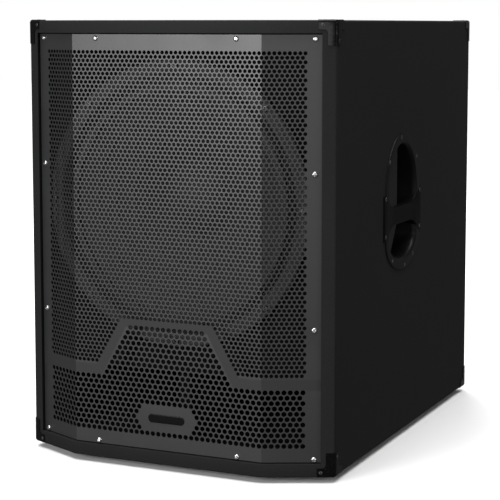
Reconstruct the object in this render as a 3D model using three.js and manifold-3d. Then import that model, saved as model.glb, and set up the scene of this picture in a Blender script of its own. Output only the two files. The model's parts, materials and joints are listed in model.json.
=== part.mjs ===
// A bass-reflex subwoofer cabinet with one 18 inch driver: a plywood box whose front is a flat centre and
// two swept-back wings, closed by a bent perforated grille over a front-mounted driver and a slot port.
// Millimetres, +Z up, the front faces -Y and the origin is the centre of the bounding box's base.
// Inside the cabinet group, y = 0 is the front edge of the flat centre and z = 0 is the underside of the box.
import * as THREE from 'three';
import { mergeVertices } from 'three/addons/utils/BufferGeometryUtils.js';
import Module from 'manifold-3d';

const wasm = await Module();
wasm.setup();

// Driving dimensions of the box
const WIDTH = 538;
const HEIGHT = 700;
const DEPTH = 738;
const FLAT_HALF = 164;
const WING_SETBACK = 49;
const WALL = 20;
const JOINT_GAP = 0.3;
const HALF = WIDTH / 2;
const INNER_HALF = HALF - WALL;
const WING_ANGLE = Math.atan2(WING_SETBACK, HALF - FLAT_HALF);
const BOARD_HOLE_FIT = 0.5;

// Front boards
const BAFFLE_FRONT = 52;
const BAFFLE_BACK = BAFFLE_FRONT + WALL;
const PORT_TOP = 140;
const PORT_END = 500;
const BRACE = { front: 475, low: 400, tall: 70 };

// Grille and the battens that it is screwed to
const GRILLE_RECESS = 6;
const GRILLE_SHEET = 1.5;
const GRILLE_CLEARANCE = 2;
const GRILLE_HALF = INNER_HALF - GRILLE_CLEARANCE;
const BATTEN_TALL = 18;
const BATTEN_WIDE = 18;
const WING_SCREW_RUN = 81;
const CENTRE_SCREW_X = 122;
const SCREW_HEIGHTS = { low: 26, middle: [228, 467.7], high: 671.7 };
const SCREW = {
  head: 4.4, headTall: 2.4, rimTall: 0.6, crown: 3.1, crownTall: 2,
  shank: 2, length: 8, hole: 2.4, holeDeep: 9,
};
const NAMEPLATE = { half: 32, halfTall: 7, thick: 1.2, height: 72.5 };

// Driver, measured along its axis from the front of the cabinet
const DRIVER_HEIGHT = 411;
const FRAME_R = 229;
const CUTOUT_R = 212;
const FLANGE = { front: 46, back: BAFFLE_FRONT - JOINT_GAP };
const GASKET = { front: 41, inner: 206 };
// The cast basket: its hub on the top plate, the ledge for the spider, and its conical wall with its windows
const BASKET = {
  hub: { inner: 60, outer: 112, front: 182, back: 189.7 },
  ledge: { inner: 94, outer: 103, front: 170 },
  inside: { wide: CUTOUT_R - 8, wideY: 56, narrow: 108, narrowY: 166 },
  outside: { wide: CUTOUT_R - 2, wideY: 60, narrow: 116, narrowY: 172 },
  window: { from: 122, to: 223, front: 62, back: 160, open: 0.72 },
};
const CONE = { rim: 188, rimY: 46, neck: 51.7, neckY: 139, sag: 7, thick: 1.8 };
const DUST_CAP = { radius: 58.6, edgeY: 130.8, rise: 24, thick: 1.5 };
const SURROUND = { inner: 180, outer: 216, flat: 10.5, rolls: 3, rise: 6, thick: 1.2 };
const FORMER = { inner: 50.2, outer: 51.2, front: 136, back: 214 };
const COIL = { inner: 51.5, outer: 53.2, front: 186, back: 211 };
const SPIDER = { inner: 51.5, outer: 101, flat: 4, front: 166, rolls: 4, rise: 2.2, thick: 1 };
const LEGS = 8;
const TERMINALS = { half: 14, front: 104, back: 126, low: -188, high: -174 };
const LUG = { x: 8, half: 2, long: 6, low: -184, high: -179 };
const TOP_PLATE = { inner: 54.4, outer: 108, front: 190, back: 202 };
const MAGNET = { inner: 66, outer: 112, front: 202.3, back: 228 };
const BACK_PLATE = { outer: 106, front: 228.3, back: 240, pole: 49, vent: 16 };

// Facets round a turned piece, by its size
const FACETS = { large: 36, cutout: 48, middle: 24, small: 16, screw: 10, hole: 8 };
const ARC_STEPS = 4;
const PROFILE_STEPS = 4;
const WAVE_STEPS = 2;

// Recessed handle: a across the side, b up it and c out of it, from the middle of the grip
const HANDLE = { y: WING_SETBACK + 307, z: 375 };
const CUP = {
  bandHalf: 95, bandHalfTall: 38, lobeHalf: 86, topRise: 100, bottomDrop: 56, seatHalf: 65,
  flange: 2.5, bodyInset: 8, pocketInset: 20, deep: 62, floor: 3, rampFrom: -71, deepFrom: -18, rampDrop: 3.5,
};
const GRIP = { halfTall: 15, straightHalf: 38, kneeHalf: 62, flareHalf: 79, deep: 18, overRim: 65.4 };

// Corner protectors, feet and the fittings on the back and the top
const CORNER = { arm: 28, drop: 38, capWide: 10, skin: 1.4, gap: 0.2 };
const FOOT = { top: 20, bottom: 17, chamfer: 2.5, tall: 10, x: 200, front: 110, back: 660 };
const DISH = {
  halfWide: 70, halfTall: 52, round: 12, panHalfWide: 60, panHalfTall: 42, panRound: 9,
  flange: 2.5, deep: 22, wall: 2.5, height: 240,
};
const SOCKET = {
  apart: 52, half: 13, halfTall: 15.5, round: 3, plate: 2.5, barrel: 11.8, bore: 10.4, end: 3,
  core: 5.5, coreFoot: 1, coreBack: 9, long: 27,
};
const POLE = { flange: 48, thick: 3, bore: 18.2, outer: 21.2, deep: 92, floor: 3, y: 369 };
const LEAD = { radius: 3, slack: 2, steps: 20 };

// How far a cutter runs past the faces that it cuts, and past a whole handle
const OVERCUT = 5;
const PAST_HANDLE = 160;

const MATERIALS = {
  paint: new THREE.MeshStandardMaterial({ color: 0x1a1b1d, roughness: 0.6, metalness: 0 }),
  board: new THREE.MeshStandardMaterial({ color: 0x17181a, roughness: 0.85, metalness: 0 }),
  grille: new THREE.MeshStandardMaterial({ color: 0x2a2b2d, roughness: 0.42, metalness: 0.3 }),
  steel: new THREE.MeshStandardMaterial({ color: 0xc9cbcd, roughness: 0.25, metalness: 1 }),
  alloy: new THREE.MeshStandardMaterial({ color: 0x202123, roughness: 0.5, metalness: 0.4 }),
  plated: new THREE.MeshStandardMaterial({ color: 0x8d8f92, roughness: 0.4, metalness: 0.9 }),
  ferrite: new THREE.MeshStandardMaterial({ color: 0x2b2c2e, roughness: 0.7, metalness: 0.1 }),
  copper: new THREE.MeshStandardMaterial({ color: 0xa8623a, roughness: 0.4, metalness: 0.9 }),
  film: new THREE.MeshStandardMaterial({ color: 0x9a7a4a, roughness: 0.5, metalness: 0 }),
  paper: new THREE.MeshStandardMaterial({ color: 0x1b1b1c, roughness: 0.8, metalness: 0 }),
  cloth: new THREE.MeshStandardMaterial({ color: 0x141415, roughness: 0.75, metalness: 0 }),
  weave: new THREE.MeshStandardMaterial({ color: 0xb98f4d, roughness: 0.9, metalness: 0 }),
  seal: new THREE.MeshStandardMaterial({ color: 0x1f2021, roughness: 0.7, metalness: 0 }),
  moulding: new THREE.MeshStandardMaterial({ color: 0x1c1d1f, roughness: 0.45, metalness: 0 }),
  glossy: new THREE.MeshStandardMaterial({ color: 0x101113, roughness: 0.18, metalness: 0 }),
  rubber: new THREE.MeshStandardMaterial({ color: 0x161617, roughness: 0.9, metalness: 0 }),
};

// The cabinet group carries everything and puts the origin under the middle of the bounding box
const REAR_PROUD = JOINT_GAP + DISH.flange;
const object = new THREE.Group();
const cabinet = new THREE.Group();
cabinet.position.set(0, -(DEPTH + REAR_PROUD) / 2, FOOT.tall);
object.add(cabinet);

// ---- helpers --------------------------------------------------------------------------------------------

// A geometry as a manifold solid
function solid(geometry) {
  const bare = geometry.index ? geometry.toNonIndexed() : geometry.clone();
  bare.deleteAttribute('normal');
  bare.deleteAttribute('uv');
  const merged = mergeVertices(bare, 1e-4);
  const vertProperties = new Float32Array(merged.attributes.position.array);
  const triVerts = new Uint32Array(merged.index.array);
  return new wasm.Manifold(new wasm.Mesh({ numProp: 3, vertProperties, triVerts }));
}

// A manifold solid as a geometry
function surface(body) {
  const mesh = body.getMesh();
  const geometry = new THREE.BufferGeometry();
  geometry.setAttribute('position', new THREE.BufferAttribute(new Float32Array(mesh.vertProperties), 3));
  geometry.setIndex(Array.from(mesh.triVerts));
  return geometry;
}

function cut(geometry, ...cutters) {
  let body = solid(geometry);
  for (const cutter of cutters) {
    body = body.subtract(solid(cutter));
  }
  return surface(body);
}

function join(first, ...others) {
  let body = solid(first);
  for (const other of others) {
    body = body.add(solid(other));
  }
  return surface(body);
}

function common(first, second) {
  return surface(solid(first).intersect(solid(second)));
}

function part(name, geometry, material, parent = cabinet) {
  const mesh = new THREE.Mesh(geometry, material);
  mesh.name = name;
  parent.add(mesh);
  return mesh;
}

// A plan outline, as [x, y] pairs or a shape, raised from low to high
function prism(outline, low, high, curveSegments = 10) {
  const points = (pairs) => pairs.map(([x, y]) => new THREE.Vector2(x, y));
  const shape = Array.isArray(outline) ? new THREE.Shape(points(outline)) : outline;
  const options = { depth: high - low, bevelEnabled: false, curveSegments };
  return new THREE.ExtrudeGeometry(shape, options).translate(0, 0, low);
}

// A box from its lowest to its highest corner
function block(x0, x1, y0, y1, z0, z1) {
  const geometry = new THREE.BoxGeometry(x1 - x0, y1 - y0, z1 - z0);
  return geometry.translate((x0 + x1) / 2, (y0 + y1) / 2, (z0 + z1) / 2);
}

// A profile of [radius, y] pairs turned about the Y axis, with the outer side running towards +y
function turned(profile, segments = FACETS.large) {
  return new THREE.LatheGeometry(profile.map(([r, y]) => new THREE.Vector2(r, y)), segments);
}

function ring(inner, outer, front, back) {
  return turned([[inner, front], [outer, front], [outer, back], [inner, back], [inner, front]]);
}

function rod(radius, from, to, segments) {
  return turned([[0, from], [radius, from], [radius, to], [0, to]], segments);
}

// A thin wall between a front line and the same line moved back by its thickness
function skin(front, thick) {
  const back = front.map(([r, y]) => [r, y + thick]).reverse();
  return turned([...front, ...back, front[0]]);
}

// How far the swept-back wing lies behind the flat centre
function wingY(x) {
  return Math.max(0, Math.abs(x) - FLAT_HALF) * Math.tan(WING_ANGLE);
}

// The hexagonal front line, moved back by offset, from left to right
function frontLine(half, offset) {
  const back = wingY(half) + offset;
  return [[-half, back], [-FLAT_HALF, offset], [FLAT_HALF, offset], [half, back]];
}

// ---- box ------------------------------------------------------------------------------------------------

const toSide = new THREE.Matrix4().makeBasis(
  new THREE.Vector3(0, 1, 0), new THREE.Vector3(0, 0, 1), new THREE.Vector3(1, 0, 0),
).setPosition(HALF, HANDLE.y, HANDLE.z);
const toRear = new THREE.Matrix4().makeBasis(
  new THREE.Vector3(-1, 0, 0), new THREE.Vector3(0, 0, 1), new THREE.Vector3(0, 1, 0),
).setPosition(0, DEPTH, DISH.height);

function upright(geometry) {
  return geometry.rotateX(Math.PI / 2);
}

function endPanelPlan() {
  const half = INNER_HALF - JOINT_GAP / 2;
  return [...frontLine(half, 0), [half, DEPTH], [-half, DEPTH]];
}

function makeTopPanel() {
  const plan = prism(endPanelPlan(), HEIGHT - WALL, HEIGHT);
  const seat = upright(rod(POLE.flange + JOINT_GAP, -POLE.thick - JOINT_GAP, OVERCUT, FACETS.large));
  const bore = upright(rod(POLE.outer + JOINT_GAP, -WALL - OVERCUT, OVERCUT, FACETS.middle));
  const holes = [seat, bore].map((hole) => hole.translate(0, POLE.y, HEIGHT));
  part('top_panel', cut(plan, ...holes), MATERIALS.paint);
}

function makeBottomPanel() {
  part('bottom_panel', prism(endPanelPlan(), 0, WALL), MATERIALS.paint);
}

function makeSidePanels() {
  const inner = INNER_HALF + JOINT_GAP / 2;
  const plan = [[inner, wingY(inner)], [HALF, WING_SETBACK], [HALF, DEPTH], [inner, DEPTH]];
  const outline = lobeOutline(CUP.bodyInset - BOARD_HOLE_FIT);
  const hole = prism(outline, -WALL - OVERCUT, OVERCUT).applyMatrix4(toSide);
  for (const [name, side] of [['left_side_panel', -1], ['right_side_panel', 1]]) {
    part(name, cut(prism(plan, 0, HEIGHT), hole), MATERIALS.paint).scale.x = side;
  }
}

function makeRearPanel() {
  const half = INNER_HALF - JOINT_GAP / 2;
  const board = block(-half, half, DEPTH - WALL, DEPTH, WALL + JOINT_GAP, HEIGHT - WALL - JOINT_GAP);
  const { panHalfWide, panHalfTall, panRound } = DISH;
  const outline = roundedOblong(panHalfWide + BOARD_HOLE_FIT, panHalfTall + BOARD_HOLE_FIT, panRound);
  const hole = prism(outline, -WALL - OVERCUT, OVERCUT).applyMatrix4(toRear);
  part('rear_panel', cut(board, hole), MATERIALS.paint);
}

function makeInnerBoards() {
  const half = INNER_HALF - JOINT_GAP;
  const baffle = block(-half, half, BAFFLE_FRONT, BAFFLE_BACK, PORT_TOP, HEIGHT - WALL - JOINT_GAP);
  const cutout = rod(CUTOUT_R, BAFFLE_FRONT - OVERCUT, BAFFLE_BACK + OVERCUT, FACETS.cutout);
  part('front_baffle', cut(baffle, cutout.translate(0, 0, DRIVER_HEIGHT)), MATERIALS.board);
  const behind = BAFFLE_BACK + JOINT_GAP;
  part('port_shelf', block(-half, half, behind, PORT_END, PORT_TOP, PORT_TOP + WALL), MATERIALS.board);
  const divider = block(-WALL / 2, WALL / 2, behind, PORT_END, WALL + JOINT_GAP, PORT_TOP - JOINT_GAP);
  part('port_divider', divider, MATERIALS.board);
  const brace = block(-half, half, BRACE.front, BRACE.front + WALL, BRACE.low, BRACE.low + BRACE.tall);
  part('cross_brace', brace, MATERIALS.board);
}

// ---- grille ---------------------------------------------------------------------------------------------

// Where each grille screw sits on the sheet, and which way it leans
function screwPlaces() {
  const places = [];
  const wingX = FLAT_HALF + WING_SCREW_RUN * Math.cos(WING_ANGLE);
  for (const side of [-1, 1]) {
    for (const z of [SCREW_HEIGHTS.low, ...SCREW_HEIGHTS.middle, SCREW_HEIGHTS.high]) {
      places.push({ x: side * wingX, y: wingY(wingX) + GRILLE_RECESS, z, lean: side * WING_ANGLE });
    }
    for (const z of [SCREW_HEIGHTS.low, SCREW_HEIGHTS.high]) {
      places.push({ x: side * CENTRE_SCREW_X, y: GRILLE_RECESS, z, lean: 0 });
    }
  }
  return places;
}

function screwHoles() {
  return screwPlaces().map(({ x, y, z, lean }) => {
    const hole = rod(SCREW.hole, -OVERCUT, SCREW.holeDeep, FACETS.hole);
    return hole.rotateZ(lean).translate(x, y, z);
  });
}

function makeGrille() {
  const outer = frontLine(GRILLE_HALF, GRILLE_RECESS);
  const inner = frontLine(GRILLE_HALF, GRILLE_RECESS + GRILLE_SHEET).reverse();
  const edge = WALL + GRILLE_CLEARANCE;
  part('grille', cut(prism([...outer, ...inner], edge, HEIGHT - edge), ...screwHoles()), MATERIALS.grille);
}

function makeBattens() {
  const behindSheet = GRILLE_RECESS + GRILLE_SHEET + JOINT_GAP;
  const half = INNER_HALF - JOINT_GAP;
  const back = BAFFLE_FRONT - JOINT_GAP;
  const plan = [...frontLine(half, behindSheet), [half, back], [-half, back]];
  const lowest = WALL + JOINT_GAP;
  const highest = HEIGHT - WALL - JOINT_GAP - BATTEN_TALL;
  for (const [name, bottom] of [['grille_batten_bottom', lowest], ['grille_batten_top', highest]]) {
    part(name, cut(prism(plan, bottom, bottom + BATTEN_TALL), ...screwHoles()), MATERIALS.board);
  }
  const near = half - BATTEN_WIDE;
  const front = [[near, wingY(near) + behindSheet], [half, wingY(half) + behindSheet]];
  const post = [...front, [half, back], [near, back]];
  const low = WALL + BATTEN_TALL + 2 * JOINT_GAP;
  for (const [name, side] of [['grille_batten_left', -1], ['grille_batten_right', 1]]) {
    part(name, cut(prism(post, low, HEIGHT - low), ...screwHoles()), MATERIALS.board).scale.x = side;
  }
}

function makeGrilleScrews() {
  const { head, headTall, rimTall, crown, crownTall, shank, length } = SCREW;
  const under = -JOINT_GAP;
  const profile = [
    [0, under - headTall], [crown, under - crownTall], [head, under - rimTall],
    [head, under], [shank, under], [shank, length], [0, length],
  ];
  screwPlaces().forEach(({ x, y, z, lean }, i) => {
    const name = `grille_screw_${String(i + 1).padStart(2, '0')}`;
    const mesh = part(name, turned(profile, FACETS.screw), MATERIALS.steel);
    mesh.position.set(x, y, z);
    mesh.rotation.z = lean;
  });
}

function makeNameplate() {
  const { half, halfTall, thick, height } = NAMEPLATE;
  const plate = upright(prism(roundedOblong(half, halfTall, halfTall), 0, thick, ARC_STEPS));
  part('nameplate', plate, MATERIALS.glossy).position.set(0, GRILLE_RECESS - JOINT_GAP, height);
}

// ---- driver ---------------------------------------------------------------------------------------------

function makeBasket(driver) {
  const { hub, ledge, inside, outside, window } = BASKET;
  const shell = turned([
    [hub.inner, hub.front], [ledge.inner, hub.front], [ledge.inner, ledge.front], [ledge.outer, ledge.front],
    [inside.narrow, inside.narrowY], [inside.wide, inside.wideY], [inside.wide, FLANGE.front],
    [FRAME_R, FLANGE.front], [FRAME_R, FLANGE.back], [outside.wide, FLANGE.back],
    [outside.wide, outside.wideY], [outside.narrow, outside.narrowY],
    [hub.outer, hub.back], [hub.inner, hub.back], [hub.inner, hub.front],
  ]);
  const windows = [];
  for (let i = 0; i < LEGS; i += 1) {
    const middle = ((i + 0.5) * 2 * Math.PI) / LEGS;
    const open = window.open * (Math.PI / LEGS);
    const sector = new THREE.Shape();
    sector.absarc(0, 0, window.to, middle - open, middle + open, false);
    sector.absarc(0, 0, window.from, middle + open, middle - open, true);
    windows.push(upright(prism(sector, -window.back, -window.front, ARC_STEPS)));
  }
  part('driver_basket', cut(shell, ...windows), MATERIALS.alloy, driver);
}

// Half-round rolls between two radii: the front line of a cloth surround or of a corrugated spider
function waves({ inner, outer, flat, rolls, rise }, front) {
  const line = [[inner, front]];
  const span = outer - inner - 2 * flat;
  const steps = rolls * WAVE_STEPS;
  for (let i = 0; i <= steps; i += 1) {
    const t = i / steps;
    line.push([inner + flat + span * t, front - rise * Math.abs(Math.sin(Math.PI * rolls * t))]);
  }
  line.push([outer, front]);
  return line;
}

function makeSuspension(driver) {
  const lip = CONE.rimY - SURROUND.thick - JOINT_GAP;
  part('surround', skin(waves(SURROUND, lip), SURROUND.thick), MATERIALS.cloth, driver);
  part('spider', skin(waves(SPIDER, SPIDER.front), SPIDER.thick), MATERIALS.weave, driver);
}

// The front line of the cone, slightly curved from its neck to its rim
function coneLine() {
  const { rim, rimY, neck, neckY, sag } = CONE;
  const line = [];
  for (let i = 0; i <= PROFILE_STEPS; i += 1) {
    const t = i / PROFILE_STEPS;
    line.push([neck + (rim - neck) * t, neckY + (rimY - neckY) * t - sag * Math.sin(Math.PI * t)]);
  }
  return line;
}

function makeMovingParts(driver) {
  part('cone', skin(coneLine(), CONE.thick), MATERIALS.paper, driver);
  const dome = [];
  for (let i = 0; i <= PROFILE_STEPS; i += 1) {
    const t = i / PROFILE_STEPS;
    dome.push([DUST_CAP.radius * t, DUST_CAP.edgeY - DUST_CAP.rise * (1 - t * t)]);
  }
  const inside = dome.map(([r, y]) => [r, y + DUST_CAP.thick]).reverse();
  part('dust_cap', turned([...dome, ...inside]), MATERIALS.paper, driver);
  part('coil_former', ring(FORMER.inner, FORMER.outer, FORMER.front, FORMER.back), MATERIALS.film, driver);
  part('voice_coil', ring(COIL.inner, COIL.outer, COIL.front, COIL.back), MATERIALS.copper, driver);
}

function makeMotor(driver) {
  const tip = TOP_PLATE.front;
  part('top_plate', ring(TOP_PLATE.inner, TOP_PLATE.outer, tip, TOP_PLATE.back), MATERIALS.plated, driver);
  part('magnet_ring', ring(MAGNET.inner, MAGNET.outer, MAGNET.front, MAGNET.back), MATERIALS.ferrite, driver);
  const { outer, front, back, vent, pole } = BACK_PLATE;
  const yoke = turned([
    [vent, tip], [pole, tip], [pole, front], [outer, front], [outer, back], [vent, back], [vent, tip],
  ]);
  part('back_plate_and_pole', yoke, MATERIALS.plated, driver);
}

function makeDriver() {
  const driver = new THREE.Group();
  driver.position.z = DRIVER_HEIGHT;
  cabinet.add(driver);
  makeBasket(driver);
  const gasketBack = CONE.rimY - SURROUND.thick - 2 * JOINT_GAP;
  part('driver_gasket', ring(GASKET.inner, FRAME_R - 1, GASKET.front, gasketBack), MATERIALS.seal, driver);
  makeSuspension(driver);
  makeMovingParts(driver);
  makeMotor(driver);
  const { half, front, back, low, high } = TERMINALS;
  const lugs = [-LUG.x, LUG.x].map((x) => (
    block(x - LUG.half, x + LUG.half, back, back + LUG.long, LUG.low, LUG.high)
  ));
  const terminals = join(block(-half, half, front, back, low, high), ...lugs);
  part('driver_terminals', terminals, MATERIALS.moulding, driver);
}

// ---- handles --------------------------------------------------------------------------------------------

// The cup's outline without the wider band: two half ellipses joined by straight sides
function lobeOutline(inset) {
  const half = CUP.lobeHalf - inset;
  const shape = new THREE.Shape();
  shape.moveTo(half, -CUP.bandHalfTall);
  shape.lineTo(half, CUP.bandHalfTall);
  shape.absellipse(0, CUP.bandHalfTall, half, CUP.topRise - inset, 0, Math.PI, false);
  shape.lineTo(-half, -CUP.bandHalfTall);
  shape.absellipse(0, -CUP.bandHalfTall, half, CUP.bottomDrop - inset, Math.PI, 2 * Math.PI, false);
  return shape;
}

// The grip, waisted in the middle and as tall as the band at its ends
function gripOutline(grow) {
  const end = CUP.bandHalf + grow;
  const tall = CUP.bandHalfTall + grow;
  const waist = GRIP.halfTall + grow;
  const shape = new THREE.Shape();
  shape.moveTo(-GRIP.straightHalf, -waist);
  shape.lineTo(GRIP.straightHalf, -waist);
  shape.quadraticCurveTo(GRIP.kneeHalf, -waist, GRIP.flareHalf, -tall);
  shape.lineTo(end, -tall);
  shape.lineTo(end, tall);
  shape.lineTo(GRIP.flareHalf, tall);
  shape.quadraticCurveTo(GRIP.kneeHalf, waist, GRIP.straightHalf, waist);
  shape.lineTo(-GRIP.straightHalf, waist);
  shape.quadraticCurveTo(-GRIP.kneeHalf, waist, -GRIP.flareHalf, tall);
  shape.lineTo(-end, tall);
  shape.lineTo(-end, -tall);
  shape.lineTo(-GRIP.flareHalf, -tall);
  shape.quadraticCurveTo(-GRIP.kneeHalf, -waist, -GRIP.straightHalf, -waist);
  return shape;
}

// A section in a and c, run along b from one end of the handle to the other
function alongHandle(section) {
  return upright(prism(section, -PAST_HANDLE, PAST_HANDLE));
}

function cupGeometry() {
  const face = CUP.flange + JOINT_GAP;
  const flange = prism(lobeOutline(0), JOINT_GAP, face);
  const body = prism(lobeOutline(CUP.bodyInset), -CUP.deep, face);
  const above = face + OVERCUT;
  const pocket = prism(lobeOutline(CUP.pocketInset), -CUP.deep + CUP.floor, above);
  const { deep, deepFrom, rampFrom, rampDrop, seatHalf } = CUP;
  const end = PAST_HANDLE;
  const well = alongHandle([[deepFrom, -deep], [end, -deep], [end, above], [deepFrom, above]]);
  const rampTo = deepFrom + 1;
  const ramp = alongHandle([[rampFrom, 0], [rampTo, -rampDrop], [rampTo, above], [rampFrom, above]]);
  const seat = prism(gripOutline(JOINT_GAP), 0, above, ARC_STEPS);
  const between = block(-seatHalf, seatHalf, -PAST_HANDLE, PAST_HANDLE, -OVERCUT, above + OVERCUT);
  return cut(join(flange, body), common(pocket, well), common(pocket, ramp), cut(seat, between));
}

function gripGeometry() {
  const face = CUP.flange + JOINT_GAP;
  const bar = prism(gripOutline(0), -GRIP.deep, face, ARC_STEPS);
  const end = PAST_HANDLE;
  const under = -GRIP.deep - OVERCUT;
  const clear = 2 * JOINT_GAP;
  const rampTo = CUP.deepFrom + JOINT_GAP;
  const overRamp = alongHandle([
    [-end, under], [rampTo, under], [rampTo, clear - CUP.rampDrop], [CUP.rampFrom, clear], [-end, clear],
  ]);
  const rim = GRIP.overRim;
  const overRim = alongHandle([[rim, under], [end, under], [end, JOINT_GAP], [rim, JOINT_GAP]]);
  return cut(bar, overRamp, overRim);
}

function makeHandles() {
  for (const [name, side] of [['left', -1], ['right', 1]]) {
    const mirrored = new THREE.Group();
    mirrored.scale.x = side;
    cabinet.add(mirrored);
    const handle = new THREE.Group();
    handle.applyMatrix4(toSide);
    mirrored.add(handle);
    part(`handle_cup_${name}`, cupGeometry(), MATERIALS.moulding, handle);
    part(`handle_grip_${name}`, gripGeometry(), MATERIALS.moulding, handle);
  }
}

// ---- corners, feet, fittings ----------------------------------------------------------------------------

// One top corner protector over the vertical edge at the side's y: one arm runs back or forward along the
// side, the other runs inward along a face that leans by angle from the X axis
function cornerGeometry(y, alongSide, angle) {
  const across = new THREE.Vector2(-Math.cos(angle), -Math.sin(angle) * alongSide);
  const normal = new THREE.Vector2(Math.sin(angle), -Math.cos(angle) * alongSide);
  const mitre = (alongSide * (1 - Math.sin(angle))) / Math.cos(angle);
  const faceArm = new THREE.Vector2(HALF, y).addScaledVector(across, CORNER.arm);
  const edge = (out) => new THREE.Vector2(HALF + out, y - mitre * out);
  const sideEnd = (out) => new THREE.Vector2(HALF + out, y + alongSide * CORNER.arm);
  const faceEnd = (out) => faceArm.clone().addScaledVector(normal, out);
  const near = CORNER.gap;
  const far = CORNER.gap + CORNER.skin;
  const wall = new THREE.Shape([
    sideEnd(near), sideEnd(far), edge(far), faceEnd(far), faceEnd(near), edge(near),
  ]);
  const sideIn = sideEnd(near).add(new THREE.Vector2(-CORNER.capWide, 0));
  const faceIn = faceEnd(near - CORNER.capWide);
  const cap = new THREE.Shape([sideEnd(far), edge(far), faceEnd(far), faceIn, sideIn]);
  const low = HEIGHT + CORNER.gap;
  const high = low + CORNER.skin;
  return join(prism(wall, HEIGHT - CORNER.drop, high), prism(cap, low, high));
}

function makeCorners() {
  for (const [level, flip] of [['top', 1], ['bottom', -1]]) {
    for (const [hand, side] of [['left', -1], ['right', 1]]) {
      const mirrored = new THREE.Group();
      mirrored.scale.set(side, 1, flip);
      mirrored.position.z = flip < 0 ? HEIGHT : 0;
      cabinet.add(mirrored);
      const front = cornerGeometry(WING_SETBACK, 1, WING_ANGLE);
      part(`corner_front_${level}_${hand}`, front, MATERIALS.glossy, mirrored);
      part(`corner_rear_${level}_${hand}`, cornerGeometry(DEPTH, -1, 0), MATERIALS.glossy, mirrored);
    }
  }
}

function makeFeet() {
  const { top, bottom, chamfer, tall } = FOOT;
  const high = tall - JOINT_GAP;
  const profile = [[0, 0], [bottom, 0], [top, chamfer], [top, high], [0, high]];
  for (const [hand, side] of [['left', -1], ['right', 1]]) {
    for (const [end, y] of [['front', FOOT.front], ['rear', FOOT.back]]) {
      const foot = part(`foot_${end}_${hand}`, upright(turned(profile, FACETS.small)), MATERIALS.rubber);
      foot.position.set(side * FOOT.x, y, -tall);
    }
  }
}

// A rectangle with round corners, centred on the origin
function roundedOblong(half, halfTall, radius) {
  const shape = new THREE.Shape();
  shape.absarc(half - radius, -halfTall + radius, radius, -Math.PI / 2, 0, false);
  shape.absarc(half - radius, halfTall - radius, radius, 0, Math.PI / 2, false);
  shape.absarc(-half + radius, halfTall - radius, radius, Math.PI / 2, Math.PI, false);
  shape.absarc(-half + radius, -halfTall + radius, radius, Math.PI, 1.5 * Math.PI, false);
  return shape;
}

function makeConnectorDish() {
  const rear = new THREE.Group();
  rear.applyMatrix4(toRear);
  cabinet.add(rear);
  const { halfWide, halfTall, round, panHalfWide, panHalfTall, panRound, wall, deep } = DISH;
  const face = JOINT_GAP + DISH.flange;
  const flange = prism(roundedOblong(halfWide, halfTall, round), JOINT_GAP, face, ARC_STEPS);
  const body = prism(roundedOblong(panHalfWide, panHalfTall, panRound), -deep - wall, face, ARC_STEPS);
  const inside = roundedOblong(panHalfWide - wall, panHalfTall - wall, panRound - wall);
  const pan = prism(inside, -deep, face + OVERCUT, ARC_STEPS);
  const holes = [-1, 1].map((side) => {
    const hole = upright(rod(SOCKET.barrel + JOINT_GAP, -deep - OVERCUT, -deep + OVERCUT, FACETS.middle));
    return hole.translate((side * SOCKET.apart) / 2, 0, 0);
  });
  part('connector_dish', cut(join(flange, body), pan, ...holes), MATERIALS.moulding, rear);
  [1, 2].forEach((number) => {
    const socket = part(`speaker_socket_${number}`, socketGeometry(), MATERIALS.moulding, rear);
    socket.position.set((number - 1.5) * SOCKET.apart, 0, -deep + JOINT_GAP);
  });
}

// A chassis socket seen from the front: a plate, a round barrel behind it and a core set back in its mouth
function socketGeometry() {
  const { half, halfTall, round, plate, barrel, bore, end, core, coreFoot, coreBack, long } = SOCKET;
  const faceplate = prism(roundedOblong(half, halfTall, round), 0, plate, ARC_STEPS);
  const tube = upright(rod(barrel, -long, plate, FACETS.middle));
  const mouth = upright(rod(bore, end - long, plate + OVERCUT, FACETS.middle));
  const centre = upright(rod(core, coreFoot - long, -coreBack, FACETS.small));
  return join(cut(join(faceplate, tube), mouth), centre);
}

function makePoleSocket() {
  const { flange, thick, bore, outer, deep, floor } = POLE;
  const profile = [
    [0, -deep - floor], [outer, -deep - floor], [outer, -thick], [flange, -thick], [flange, 0],
    [bore, 0], [bore, -deep], [0, -deep],
  ];
  const socket = part('pole_socket', upright(turned(profile, FACETS.middle)), MATERIALS.alloy);
  socket.position.set(0, POLE.y, HEIGHT);
}

// The lead from the back of one socket, over the port shelf and down to the driver's terminals
function makeSpeakerLead() {
  const start = DEPTH - DISH.deep - SOCKET.long - LEAD.slack;
  const route = new THREE.CatmullRomCurve3([
    [-SOCKET.apart / 2, start, DISH.height], [-25, start - 40, 232], [-16, 540, 204], [-4, 400, 190],
    [0, 270, 196], [0, 180, 218], [0, 134, 230],
  ].map(([x, y, z]) => new THREE.Vector3(x, y, z)));
  const section = new THREE.Shape();
  section.absarc(0, 0, LEAD.radius, 0, 2 * Math.PI, false);
  const options = { steps: LEAD.steps, extrudePath: route, curveSegments: ARC_STEPS, bevelEnabled: false };
  part('speaker_lead', new THREE.ExtrudeGeometry(section, options), MATERIALS.rubber);
}

makeTopPanel();
makeBottomPanel();
makeSidePanels();
makeRearPanel();
makeInnerBoards();
makeGrille();
makeBattens();
makeGrilleScrews();
makeNameplate();
makeDriver();
makeHandles();
makeCorners();
makeFeet();
makeConnectorDish();
makePoleSocket();
makeSpeakerLead();

export default object;
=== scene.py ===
"""A bass-reflex subwoofer cabinet: the finished look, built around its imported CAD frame.

Lengths are in millimetres in the cabinet's own axes: x to the right, y back from the front edge of the flat
centre, z up from the underside of the box. PLACE turns them into the row frame, in metres.
"""

import json
import math

import bmesh
import bpy
from mathutils import Matrix, Vector


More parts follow.
